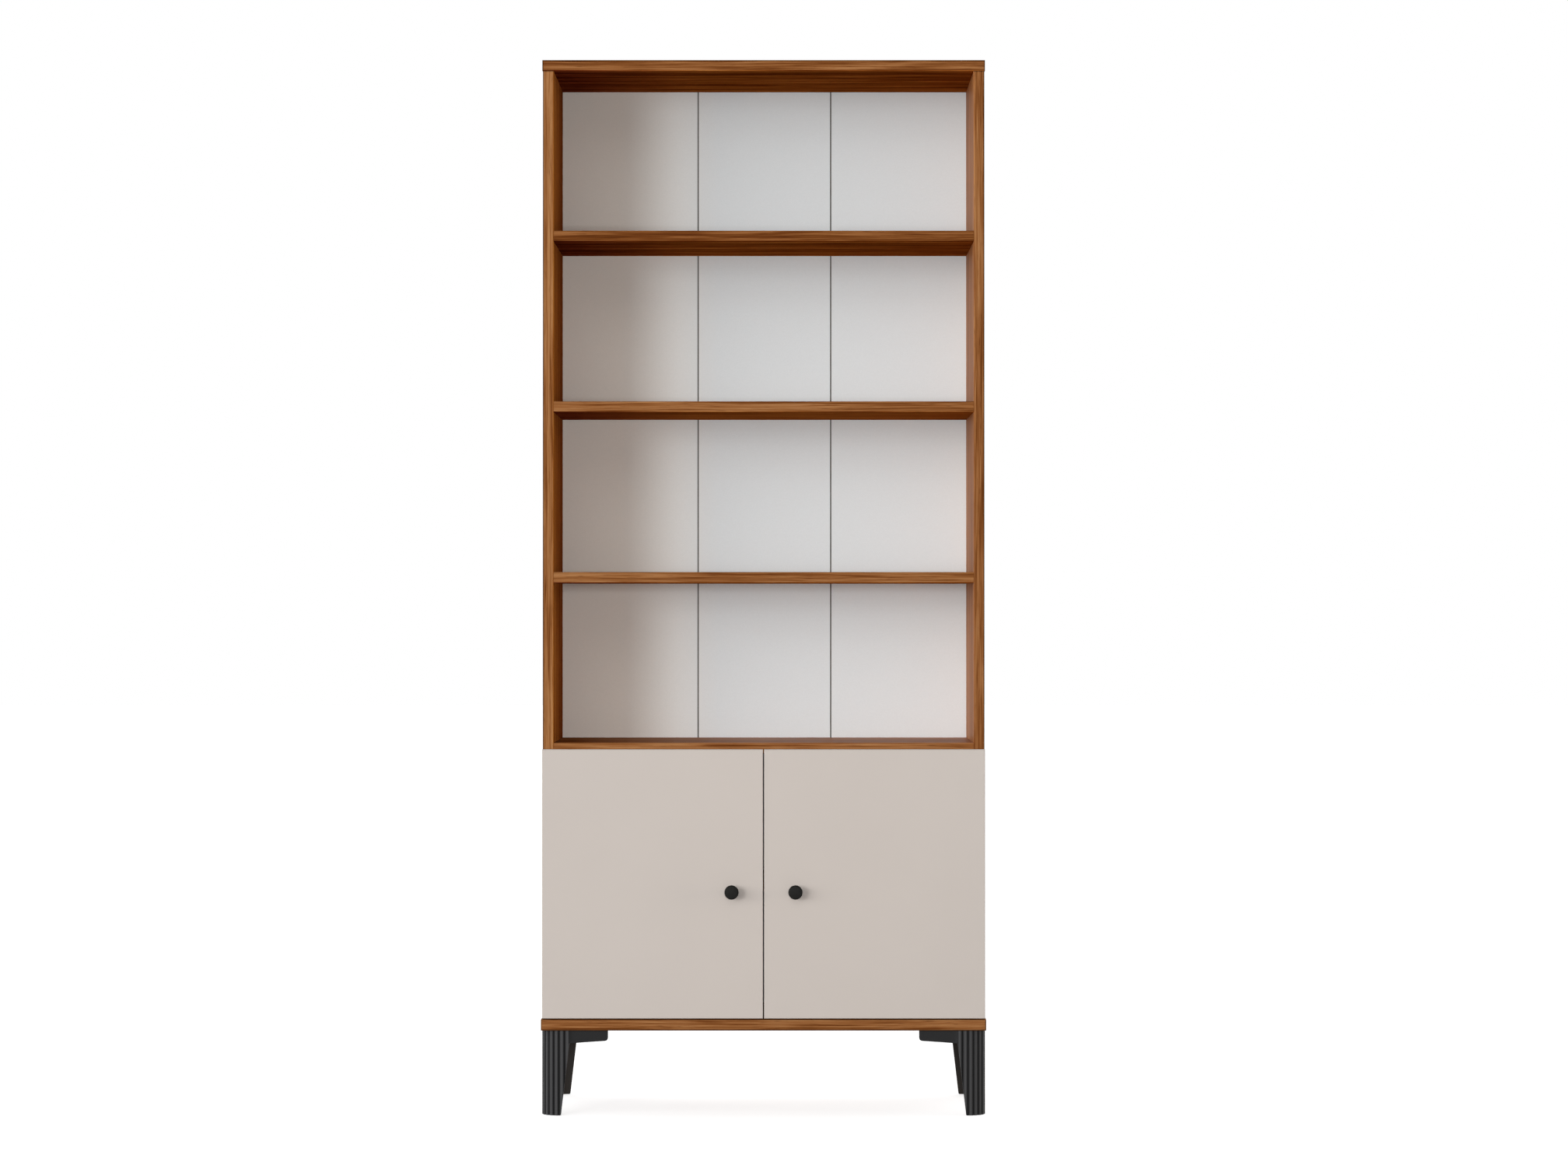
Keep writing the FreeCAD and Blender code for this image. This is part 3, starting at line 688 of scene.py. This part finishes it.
# Legs: an L of moulded wall, reeded outside, tapering to the foot and reaching out in two wings
leg = {
    "round": 30 * mm,
    "wall": 5 * mm,
    "reedDepth": 1.4 * mm,
    "cornerReeds": 5,
    "straightReeds": 2,
    "reedSteps": 12,
    "footWidth": 33.5 * mm,
    "width": 47.5 * mm,
    "wingRise": 22 * mm,
    "wingTipRise": 17.5 * mm,
    "wingRound": 5 * mm,
    "wingAngles": (0, 20, 40, 60),              # degrees of the wing's round that get a column
    "wingSteps": 6,
    "footRound": 3 * mm,
    "footLift": 1.8 * mm,                       # how far the foot's round rises before the slope
    "footShares": (1, 0.7, 0.4, 0.2, 0.05, 0),  # of the foot's round, from the foot's end
    "softEdge": 0.6 * mm,
    "softSteps": 2,
    "softFrom": 72,                             # edges from this angle on are softened
    "sharpFrom": 35,
    "flatStand": 0.58,                          # painted shade of the unreeded faces, between valley and crest
    # hiddenStand: painted shade of the inner walls
    "hiddenStand": 0.72,
    "flangeThickness": 3 * mm,
    "flangeReach": 58 * mm,
    "flangeWaist": 30 * mm,
    "screwSpots": [(48 * mm, 16 * mm), (16 * mm, 48 * mm), (27 * mm, 27 * mm)],
}
legTurns = {"front_left_leg": 0, "front_right_leg": 90, "rear_right_leg": 180, "rear_left_leg": 270}
reedWidth = math.pi / 2 * leg["round"] / leg["cornerReeds"]
unreeded = -1.0


def makeReeds():
    # the plain wall carries, point by point, the way out and the place across a reed from 0 to 1
    group, entry, leave = geometryGroup("reeds", {"Reed Width": "Float", "Reed Depth": "Float"})
    width, depth = entry["Reed Width"], entry["Reed Depth"]
    reed = named(group, "reed", "FLOAT")
    reeded = calc(group, "GREATER_THAN", reed, unreeded / 2)
    squares = calc(group, "ADD", squared(group, calc(group, "DIVIDE", width, 2.0)), squared(group, depth))
    radius = calc(group, "DIVIDE", squares, times(group, depth, 2.0))
    aside = times(group, calc(group, "SUBTRACT", reed, 0.5), width)  # from the reed's middle
    rise = calc(group, "SQRT", calc(group, "SUBTRACT", squared(group, radius), squared(group, aside)))
    rise = calc(group, "SUBTRACT", rise, calc(group, "SUBTRACT", radius, depth))
    rise = times(group, rise, reeded)
    offset = join(group, "ShaderNodeVectorMath", {0: named(group, "outward", "FLOAT_VECTOR"), "Scale": rise},
                  operation="SCALE")
    plain = calc(group, "SUBTRACT", 1.0, reeded)
    stand = calc(group, "MULTIPLY_ADD", named(group, "stand", "FLOAT"), plain,
                 calc(group, "DIVIDE", rise, depth))
    wall = join(group, "GeometryNodeStoreNamedAttribute",
                {"Geometry": entry["Geometry"], "Name": "stand", "Value": stand}, data_type="FLOAT")
    wall = join(group, "GeometryNodeSetPosition", {"Geometry": wall, "Offset": offset})
    for label in ("reed", "outward"):
        wall = join(group, "GeometryNodeRemoveAttribute", {"Geometry": wall, "Name": label})
    return endTree(group, entry, leave, wall)


def legLow(along, height, reach):
    # lower edge of the wall at a distance from the outer corner
    foot, width, tip, lift = [leg[size] for size in ("footWidth", "width", "wingRound", "footLift")]
    slopeTop = height - leg["wingRise"]
    start = foot - leg["footRound"]
    if along <= start:
        return 0.0
    if along <= foot:
        return lift * (1 - math.sqrt(1 - ((along - start) / leg["footRound"]) ** 2))
    if along <= width:
        return lift + (slopeTop - lift) * (along - foot) / (width - foot)
    edge = slopeTop + (leg["wingRise"] - leg["wingTipRise"]) * (along - width) / (reach - width)
    past = along - (reach - tip)
    if past > 0:
        edge += tip - math.sqrt(max(tip ** 2 - past ** 2, 0))
    return edge


def straightSamples(reach):
    # outer end first: (distance from the corner, place across its reed)
    start, foot, width, tip = [leg[size] for size in ("round", "footWidth", "width", "wingRound")]
    step = reedWidth / leg["reedSteps"]
    count = leg["straightReeds"] * leg["reedSteps"]
    spots = {start + step * number for number in range(count + 1)}
    for bend in (foot, width):  # room for the soft edge where the outline turns
        spots = {along for along in spots if abs(along - bend) > leg["softEdge"]}
    spots |= {foot - leg["footRound"] * share for share in leg["footShares"]}
    spots |= {reach - tip * (1 - math.sin(math.radians(angle))) for angle in leg["wingAngles"]}
    wingStep = (reach - tip - width) / leg["wingSteps"]
    spots |= {width + wingStep * number for number in range(leg["wingSteps"])}
    spots.add(reach)
    samples = []
    for along in sorted(spots, reverse=True):
        onReed = along < start + step * (count - 0.5)  # the last valley belongs to the plain wall
        samples.append((along, (along - start) / reedWidth % 1.0 if onReed else unreeded))
    return samples


def legSamples(height, reach):
    # from wing to wing: (outer point, inner point, lower edge, way out, place across its reed)
    straight = [((along, leg["reedDepth"]), (along, leg["wall"]), legLow(along, height, reach), (0, -1), reed)
                for along, reed in straightSamples(reach)]
    corner = []
    count = leg["cornerReeds"] * leg["reedSteps"]
    for step in range(1, count):
        angle = math.radians(90) * step / count
        across, ahead = math.sin(angle), math.cos(angle)
        outer, inner = [(leg["round"] - radius * across, leg["round"] - radius * ahead)
                        for radius in (leg["round"] - leg["reedDepth"], leg["round"] - leg["wall"])]
        corner.append((outer, inner, 0.0, (-across, -ahead), step / leg["reedSteps"] % 1.0))
    mirrored = [(outer[::-1], inner[::-1], edge, outward[::-1], reed)
                for outer, inner, edge, outward, reed in reversed(straight)]
    return straight + corner + mirrored


def addLeg(work, height, reach):
    columns = []
    stands = work.verts.layers.float.new("stand")
    places = work.verts.layers.float.new("reed")
    outwards = work.verts.layers.float_vector.new("outward")
    for outer, inner, edge, outward, reed in legSamples(height, reach):
        outside = [work.verts.new((*outer, level)) for level in (edge, height)]
        inside = [work.verts.new((*inner, level)) for level in (height, edge)]
        for corner in outside:
            corner[stands] = leg["flatStand"]
            corner[places] = reed
            corner[outwards] = (*outward, 0)
        for corner in inside:
            corner[stands] = leg["hiddenStand"]
            corner[places] = unreeded
        columns.append(outside + inside)
    addStack(work, columns)


def addFlange(work, height):
    half, reach, waist = leg["wall"] / 2, leg["flangeReach"], leg["flangeWaist"]
    bend = leg["round"] - (leg["round"] - half) * math.cos(math.radians(45))
    corners = [(half, leg["round"]), (bend, bend), (leg["round"], half), (reach, half), (reach, waist),
               (waist, reach), (half, reach)]
    addStack(work, [[work.verts.new((x, y, level)) for x, y in corners]
                    for level in (height - leg["flangeThickness"], height)])


def legPlace(nodeName):
    low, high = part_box(nodeName)
    corner = Vector((low.x if "left" in nodeName else high.x, low.y if "front" in nodeName else high.y, 0))
    return Matrix.Translation(corner) @ Matrix.Rotation(math.radians(legTurns[nodeName]), 4, "Z")


def softened(mesh):
    draft = addObject("draft", mesh)
    soft = draft.modifiers.new("softEdge", "BEVEL")
    soft.width = leg["softEdge"]
    soft.segments = leg["softSteps"]
    soft.limit_method = "ANGLE"
    soft.angle_limit = math.radians(leg["softFrom"])
    return bake(draft)


reeds = makeReeds()
reedSizes = {"Reed Width": reedWidth, "Reed Depth": leg["reedDepth"], "Finish": blackPlastic}
for legName in legTurns:
    low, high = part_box(legName)
    work = bmesh.new()
    addLeg(work, high.z, high.x - low.x)
    addFlange(work, high.z)
    mesh = grow(meshFrom(work), reeds, reedSizes)
    mesh.transform(legPlace(legName))
    mesh = softened(shadeSmooth(mesh, leg["sharpFrom"]))
    newPiece(legName + "Moulded", mesh, blackPlastic, "carcass", "black_plastic", legName)
print("legs: moulded")


# Shelf pins with a collar, and felt pads on the doors
pin = {
    "radius": 2.5 * mm,
    "reach": 9 * mm,         # out of the side board
    "collar": 4.2 * mm,
    "collarLength": 1.4 * mm,
    "collarRound": 0.3 * mm,
    "tip": 0.6 * mm,
    "steps": 24,
    "sharpFrom": 40,
}
pad = {
    "lip": 0.5 * mm,
    "rimDrop": 0.25 * mm,    # how far the face falls off towards the rim
    "middleDrop": 0.1 * mm,
    "middleShare": 0.5,
    "tipShare": 0.1,
    "steps": 28,
    "sharpFrom": 50,
}


def pinProfile(length, stem):
    radius, collar, tip, soft = pin["radius"], pin["collar"], pin["tip"], pin["collarRound"]
    collarEnd = stem + pin["collarLength"]
    return [(radius - tip, 0), (radius, tip), (radius, stem), (collar - soft, stem),
            (collar, stem + soft), (collar, collarEnd - soft), (collar - soft, collarEnd),
            (radius, collarEnd), (radius, length - tip), (radius - tip, length)]


def shelfPins():
    low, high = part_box("shelf_pins")
    profile = pinProfile(high.x - sideInner + pin["reach"], high.x - sideInner)
    work = bmesh.new()
    for sign in sideSigns.values():
        for depth in (low.y + pin["radius"], high.y - pin["radius"]):
            base = (sign * high.x, depth, middleOf("shelf_pins").z)
            addTurned(work, profile, base, (-sign, 0, 0), pin["steps"])
    return shadeSmooth(meshFrom(work), pin["sharpFrom"])


newPiece("shelfPinsTurned", shelfPins(), nickel, "carcass", "nickel_steel", "shelf_pins")


def doorPads(sideName):
    low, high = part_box(sideName + "_door_bumpers")
    radius = (high.z - low.z) / 2
    thick = high.y - low.y
    lip = pad["lip"]
    profile = [(radius - lip, 0), (radius, lip), (radius, thick - 2 * lip),
               (radius - lip, thick - pad["rimDrop"]),
               (radius * pad["middleShare"], thick - pad["middleDrop"]), (radius * pad["tipShare"], thick)]
    work = bmesh.new()
    for across in (low.x + radius, high.x - radius):
        base = (across, low.y, middleOf(sideName + "_door_bumpers").z)
        addTurned(work, profile, base, (0, 1, 0), pad["steps"])
    return shadeSmooth(meshFrom(work), pad["sharpFrom"])


for sideName in sideSigns:
    piece = newPiece(sideName + "FeltPads", doorPads(sideName), felt, sideName + "_door", "felt",
                     sideName + "_door_bumpers")
print("pins and pads: in place")


# Screw heads on points that carry a facing and a size; shares are of the head's height
headShape = {
    "sides": 24,
    "sideSteps": 2,
    "rings": 3,
    "rimShare": 0.2,   # corners that lie higher than this over the head's middle sink to the dome
    "domeShare": 0.45,
    "slotShare": 0.9,  # of the bars that cut the slots, half of each stands over the head
    "sharpFrom": 35,
}


def makeScrewHeads():
    group, entry, leave = geometryGroup("screwHeads", {
        "Diameter": "Float", "Height": "Float", "Slot Width": "Float", "Slot Length": "Float", "Seed": "Int"})

    def heightShare(share):
        return times(group, entry["Height"], share)

    radius = calc(group, "DIVIDE", entry["Diameter"], 2.0)
    blank = join(group, "GeometryNodeMeshCylinder", {
        "Vertices": headShape["sides"], "Side Segments": headShape["sideSteps"],
        "Fill Segments": headShape["rings"], "Radius": radius, "Depth": entry["Height"]})
    spot = partsOf(group, addNode(group, "GeometryNodeInputPosition").outputs[0])
    reach = calc(group, "SQRT", calc(group, "ADD", squared(group, spot["X"]), squared(group, spot["Y"])))
    share = squared(group, calc(group, "DIVIDE", reach, radius))
    upper = calc(group, "GREATER_THAN", spot["Z"], heightShare(headShape["rimShare"]))
    share = times(group, share, upper)
    drop = times(group, share, heightShare(-headShape["domeShare"]))
    dome = join(group, "GeometryNodeSetPosition", {"Geometry": blank, "Offset": vectorOf(group, z=drop)})
    lift = vectorOf(group, z=heightShare(0.5))
    length, width, depth = entry["Slot Length"], entry["Slot Width"], heightShare(headShape["slotShare"])
    cross = addNode(group, "GeometryNodeMeshBoolean", operation="UNION", solver="EXACT")
    for across, along in ((length, width), (width, length)):
        bar = join(group, "GeometryNodeMeshCube", {"Size": vectorOf(group, across, along, depth)})
        bar = join(group, "GeometryNodeTransform", {"Geometry": bar, "Translation": lift})
        feed(group, cross.inputs["Mesh 2"], bar)
    head = addNode(group, "GeometryNodeMeshBoolean", {"Mesh 1": dome, "Mesh 2": cross.outputs["Mesh"]},
                   operation="DIFFERENCE", solver="EXACT").outputs["Mesh"]
    head = join(group, "GeometryNodeTransform", {"Geometry": head, "Translation": lift})
    chance = addNode(group, "FunctionNodeRandomValue", {3: math.pi, "Seed": entry["Seed"]}, data_type="FLOAT")
    spin = join(group, "FunctionNodeAxisAngleToRotation", {"Axis": (0, 0, 1), "Angle": chance.outputs[1]})
    facing = named(group, "facing", "FLOAT_VECTOR")
    upright = join(group, "FunctionNodeAlignRotationToVector", {"Vector": facing}, axis="Z")
    turned = join(group, "FunctionNodeRotateRotation", {"Rotation": upright, "Rotate By": spin},
                  rotation_space="LOCAL")
    return endTree(group, entry, leave, join(group, "GeometryNodeInstanceOnPoints", {
        "Points": entry["Geometry"], "Instance": head, "Rotation": turned,
        "Scale": named(group, "size", "FLOAT")}))


# Nail heads in rows: flat domes along lines, each a little astray
nailShape = {"segments": 12, "rings": 6}


def makeNailRows():
    group, entry, leave = geometryGroup("nailRows", {
        "Pitch": "Float", "Diameter": "Float", "Height": "Float", "Stray": "Float", "Seed": "Int"})
    rows = join(group, "GeometryNodeMeshToCurve", {"Mesh": entry["Geometry"]})
    spots = join(group, "GeometryNodeResampleCurve", {"Curve": rows, "Length": entry["Pitch"]}, mode="LENGTH")
    back = times(group, entry["Stray"], -1.0)
    least, most = [vectorOf(group, x=stray, z=stray) for stray in (back, entry["Stray"])]
    chance = join(group, "FunctionNodeRandomValue", {0: least, 1: most, "Seed": entry["Seed"]},
                  data_type="FLOAT_VECTOR")
    moved = join(group, "GeometryNodeSetPosition", {"Geometry": spots, "Offset": chance})
    radius = calc(group, "DIVIDE", entry["Diameter"], 2.0)
    head = join(group, "GeometryNodeMeshUVSphere", {
        "Segments": nailShape["segments"], "Rings": nailShape["rings"], "Radius": radius})
    flat = vectorOf(group, 1.0, calc(group, "DIVIDE", entry["Height"], radius), 1.0)
    head = join(group, "GeometryNodeTransform", {"Geometry": head, "Rotation": (math.radians(90), 0, 0)})
    head = join(group, "GeometryNodeTransform", {"Geometry": head, "Scale": flat})
    return endTree(group, entry, leave, join(group, "GeometryNodeInstanceOnPoints", {
        "Points": moved, "Instance": head}))


def headPiece(name, mesh, group, given, body):
    heads = shadeSmooth(grow(mesh, group, given), headShape["sharpFrom"])
    newPiece(name, heads, given["Finish"], body, "nickel_steel")


def pointMesh(points):
    # points: (place, facing, size)
    mesh = bpy.data.meshes.new("points")
    mesh.from_pydata([place for place, facing, size in points], [], [])
    facings = mesh.attributes.new("facing", "FLOAT_VECTOR", "POINT")
    facings.data.foreach_set("vector", [number for place, facing, size in points for number in facing])
    sizes = mesh.attributes.new("size", "FLOAT", "POINT")
    sizes.data.foreach_set("value", [size for place, facing, size in points])
    return mesh


screwHeads = makeScrewHeads()
nailRows = makeNailRows()

# Screws of the hinges, knobs and legs
screw = {
    "Diameter": 7 * mm,
    "Height": 1.7 * mm,
    "Slot Width": 1.0 * mm,
    "Slot Length": 3.8 * mm,
    "Seed": 7,
    "Finish": nickel,
}
hingeSpots = {
    "plateEar": 20.5 * mm,    # from the hinge's middle to each plate screw
    "plateSetback": 37 * mm,  # from the board's front edge
    "armSetbacks": (24 * mm, 50 * mm),
    "pivots": [(-10.8 * mm, 14.5 * mm), (-3.0 * mm, 14.4 * mm)],  # setback, inset from the side board
    "cupEar": 23 * mm,
    "cupInset": 12 * mm,
    "cupRim": 1.2 * mm,
}
headSizes = {"plate": 1.0, "arm": 0.85, "pivot": 0.45, "cup": 0.9, "knob": 1.2, "flange": 1.0}


def hingeLines():
    points = []
    for sideName, sign in sideSigns.items():
        inner, outer = (1, 0) if sign < 0 else (0, 1)  # corner of a box that looks into the cupboard, or out
        inward = (-sign, 0, 0)
        for level in hingeLevels:
            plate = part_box(f"{sideName}_{level}_hinge_plate")
            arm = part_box(f"{sideName}_{level}_hinge_arm")
            middle = middleOf(f"{sideName}_{level}_hinge_plate").z
            for step, edge in ((-1, arm[0].z), (1, arm[1].z)):
                ear = middle + step * hingeSpots["plateEar"]
                place = (plate[inner].x, frontPlane + hingeSpots["plateSetback"], ear)
                points.append((place, inward, headSizes["plate"]))
                for setback, inset in hingeSpots["pivots"]:
                    place = (plate[outer].x - sign * inset, frontPlane + setback, edge)
                    points.append((place, (0, 0, step), headSizes["pivot"]))
            for setback in hingeSpots["armSetbacks"]:
                points.append(((arm[inner].x, frontPlane + setback, middle), inward, headSizes["arm"]))
    return points


def flangeLines():
    points = []
    for legName in legTurns:
        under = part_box(legName)[1].z - leg["flangeThickness"]
        for x, y in leg["screwSpots"]:
            spot = legPlace(legName) @ Vector((x, y, 0))
            points.append(((spot.x, spot.y, under), (0, 0, -1), headSizes["flange"]))
    return points


def doorLines(sideName, sign):
    points = []
    across = sign * (sideInner - hingeSpots["cupInset"])
    for level in hingeLevels:
        middle = middleOf(f"{sideName}_{level}_hinge_plate").z
        for step in (-1, 1):
            place = (across, doorBack + hingeSpots["cupRim"], middle + step * hingeSpots["cupEar"])
            points.append((place, (0, 1, 0), headSizes["cup"]))
    center = middleOf(sideName + "_knob")
    points.append(((center.x, doorBack, center.z), (0, 1, 0), headSizes["knob"]))
    return points


headPiece("carcassScrews", pointMesh(hingeLines() + flangeLines()), screwHeads, screw, "carcass")
for sideName, sign in sideSigns.items():
    points = pointMesh(doorLines(sideName, sign))
    headPiece(sideName + "DoorScrews", points, screwHeads, screw, sideName + "_door")

# Nails that hold the back to the boards' rear edges
nail = {
    "Pitch": 95 * mm,
    "Diameter": 5 * mm,
    "Height": 0.5 * mm,
    "Stray": 1.2 * mm,
    "Seed": 3,
    "Finish": nickel,
}
nailSpans = {
    "tapeClear": 32 * mm,  # from a joint's middle, so that nails keep off the tapes
    "endClear": 30 * mm,
    "edgeInset": 7 * mm,
}
nailedBoards = ("cabinet_top", "lower_shelf", "middle_shelf", "upper_shelf")


def nailMesh():
    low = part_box("left_back_panel")[0]
    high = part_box("right_back_panel")[1]
    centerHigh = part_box("center_back_panel")[1]
    rear = centerHigh.y
    joint = (centerHigh.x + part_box("right_back_panel")[0].x) / 2
    clear, end, inset = nailSpans["tapeClear"], nailSpans["endClear"], nailSpans["edgeInset"]
    spans = [(low.x + end, -joint - clear), (-joint + clear, joint - clear), (joint + clear, high.x - end)]
    levels = [middleOf(name).z for name in nailedBoards] + [low.z + inset, high.z - inset]
    ends = []
    for level in levels:
        for left, right in spans:
            ends += [(left, rear, level), (right, rear, level)]
    for across in (low.x + inset, high.x - inset):
        ends += [(across, rear, low.z + end), (across, rear, high.z - end)]
    mesh = bpy.data.meshes.new("rows")
    mesh.from_pydata(ends, [(number, number + 1) for number in range(0, len(ends), 2)], [])
    return mesh


headPiece("backNails", nailMesh(), nailRows, nail, "carcass")
print("screws and nails: set")


# Camera at the photograph's place, square to the front
cameraSetup = {
    "imageWidth": 2016,
    "focalPixels": 5401,
    "sensor": 36.0,
    "distance": 7.133,  # from the carcass's front edges
    "height": 0.858,
    "tilt": 0.281,
    "aside": 0.0346,
}


def makeCamera():
    setup = cameraSetup
    lens = bpy.data.cameras.new("photoCamera")
    lens.sensor_width = setup["sensor"]
    lens.lens = setup["sensor"] * setup["focalPixels"] / setup["imageWidth"]
    camera = addObject("photoCamera", lens)
    camera.location = (setup["aside"], frontPlane - setup["distance"], setup["height"])
    camera.rotation_euler = (math.radians(90 + setup["tilt"]), 0, 0)
    bpy.context.scene.camera = camera


makeCamera()

# Studio: a soft key from the left, broad fills, a surround that is brighter behind, a pale floor
# level is what a white card facing the lamp would show at the aim; degrees count to the right of the front
lamps = {
    "key": {"degrees": -28.7, "away": 14, "height": 1.8, "size": (3.2, 3.2), "level": 0.215},
    "leftWall": {"degrees": -50, "away": 14, "height": 2.6, "size": (12, 5), "level": 0.43},
    "overhead": {"degrees": -10, "away": 14, "height": 7.5, "size": (8, 6), "level": 0.11},
    "front": {"degrees": 2, "away": 6, "height": 1.0, "size": (0.5, 0.5), "level": 0.193},
    "rightWall": {"degrees": 77, "away": 14, "height": 1.6, "size": (3, 4), "level": 0.13,
                  "color": (1.0, 0.86, 0.66)},
}
studio = {
    "aim": (0, 0, 1.0),
    "surround": 0.3,
    "behind": 0.95,
    "behindSpan": (-0.05, 0.4),  # the surround brightens over this part of a direction's Y
    "floor": 0.88,               # as it is seen
    "floorBounce": 0.4,          # as it lights the bookcase
    "floorLift": 0.64,           # its glow, where it is seen
    "floorSize": 60,
}


def makeLamp(name, look):
    lamp = bpy.data.lights.new(name, "AREA")
    lamp.shape = "RECTANGLE"
    lamp.size, lamp.size_y = look["size"]
    lamp.energy = look["level"] * (math.pi * look["away"]) ** 2
    lamp.color = look.get("color", (1, 1, 1))
    turn = math.radians(look["degrees"])
    holder = addObject(name, lamp)
    holder.location = (math.sin(turn) * look["away"], -math.cos(turn) * look["away"], look["height"])
    holder.rotation_euler = (holder.location - Vector(studio["aim"])).to_track_quat("Z", "Y").to_euler()


def seenDirectly(tree):
    path = addNode(tree, "ShaderNodeLightPath").outputs
    seen = calc(tree, "MAXIMUM", path["Is Camera Ray"], path["Is Glossy Ray"])
    return calc(tree, "MAXIMUM", seen, path["Is Transmission Ray"])


def makeSurround():
    world = bpy.data.worlds.new("surround")
    world.use_nodes = True
    tree = world.node_tree
    direction = partsOf(tree, addNode(tree, "ShaderNodeTexCoord").outputs["Generated"])
    strength = remap(tree, direction["Y"], *studio["behindSpan"], studio["surround"], studio["behind"])
    background = tree.nodes["Background"].inputs
    feed(tree, background["Strength"], calc(tree, "MAXIMUM", strength, seenDirectly(tree)))
    background["Color"].default_value = (1, 1, 1, 1)
    bpy.context.scene.world = world


def makeFloor():
    half = studio["floorSize"] / 2
    mesh = bpy.data.meshes.new("floor")
    corners = [(-half, -half, 0), (half, -half, 0), (half, half, 0), (-half, half, 0)]
    mesh.from_pydata(corners, [], [(0, 1, 2, 3)])
    material = bpy.data.materials.new("paleFloor")
    material.use_nodes = True
    tree = material.node_tree
    tree.nodes.remove(tree.nodes["Principled BSDF"])
    seen = seenDirectly(tree)
    shade = remap(tree, seen, 0.0, 1.0, studio["floorBounce"], studio["floor"])
    matte = join(tree, "ShaderNodeBsdfDiffuse", {"Color": shade})
    glow = join(tree, "ShaderNodeEmission", {"Strength": times(tree, seen, studio["floorLift"])})
    both = join(tree, "ShaderNodeAddShader", {0: matte, 1: glow})
    feed(tree, tree.nodes["Material Output"].inputs["Surface"], both)
    mesh.materials.append(material)
    floor = addObject("floor", mesh)


for lampName, lampLook in lamps.items():
    makeLamp(lampName, lampLook)
makeSurround()
makeFloor()
bpy.context.scene.view_settings.view_transform = "Standard"
print("camera, light and floor: ready")
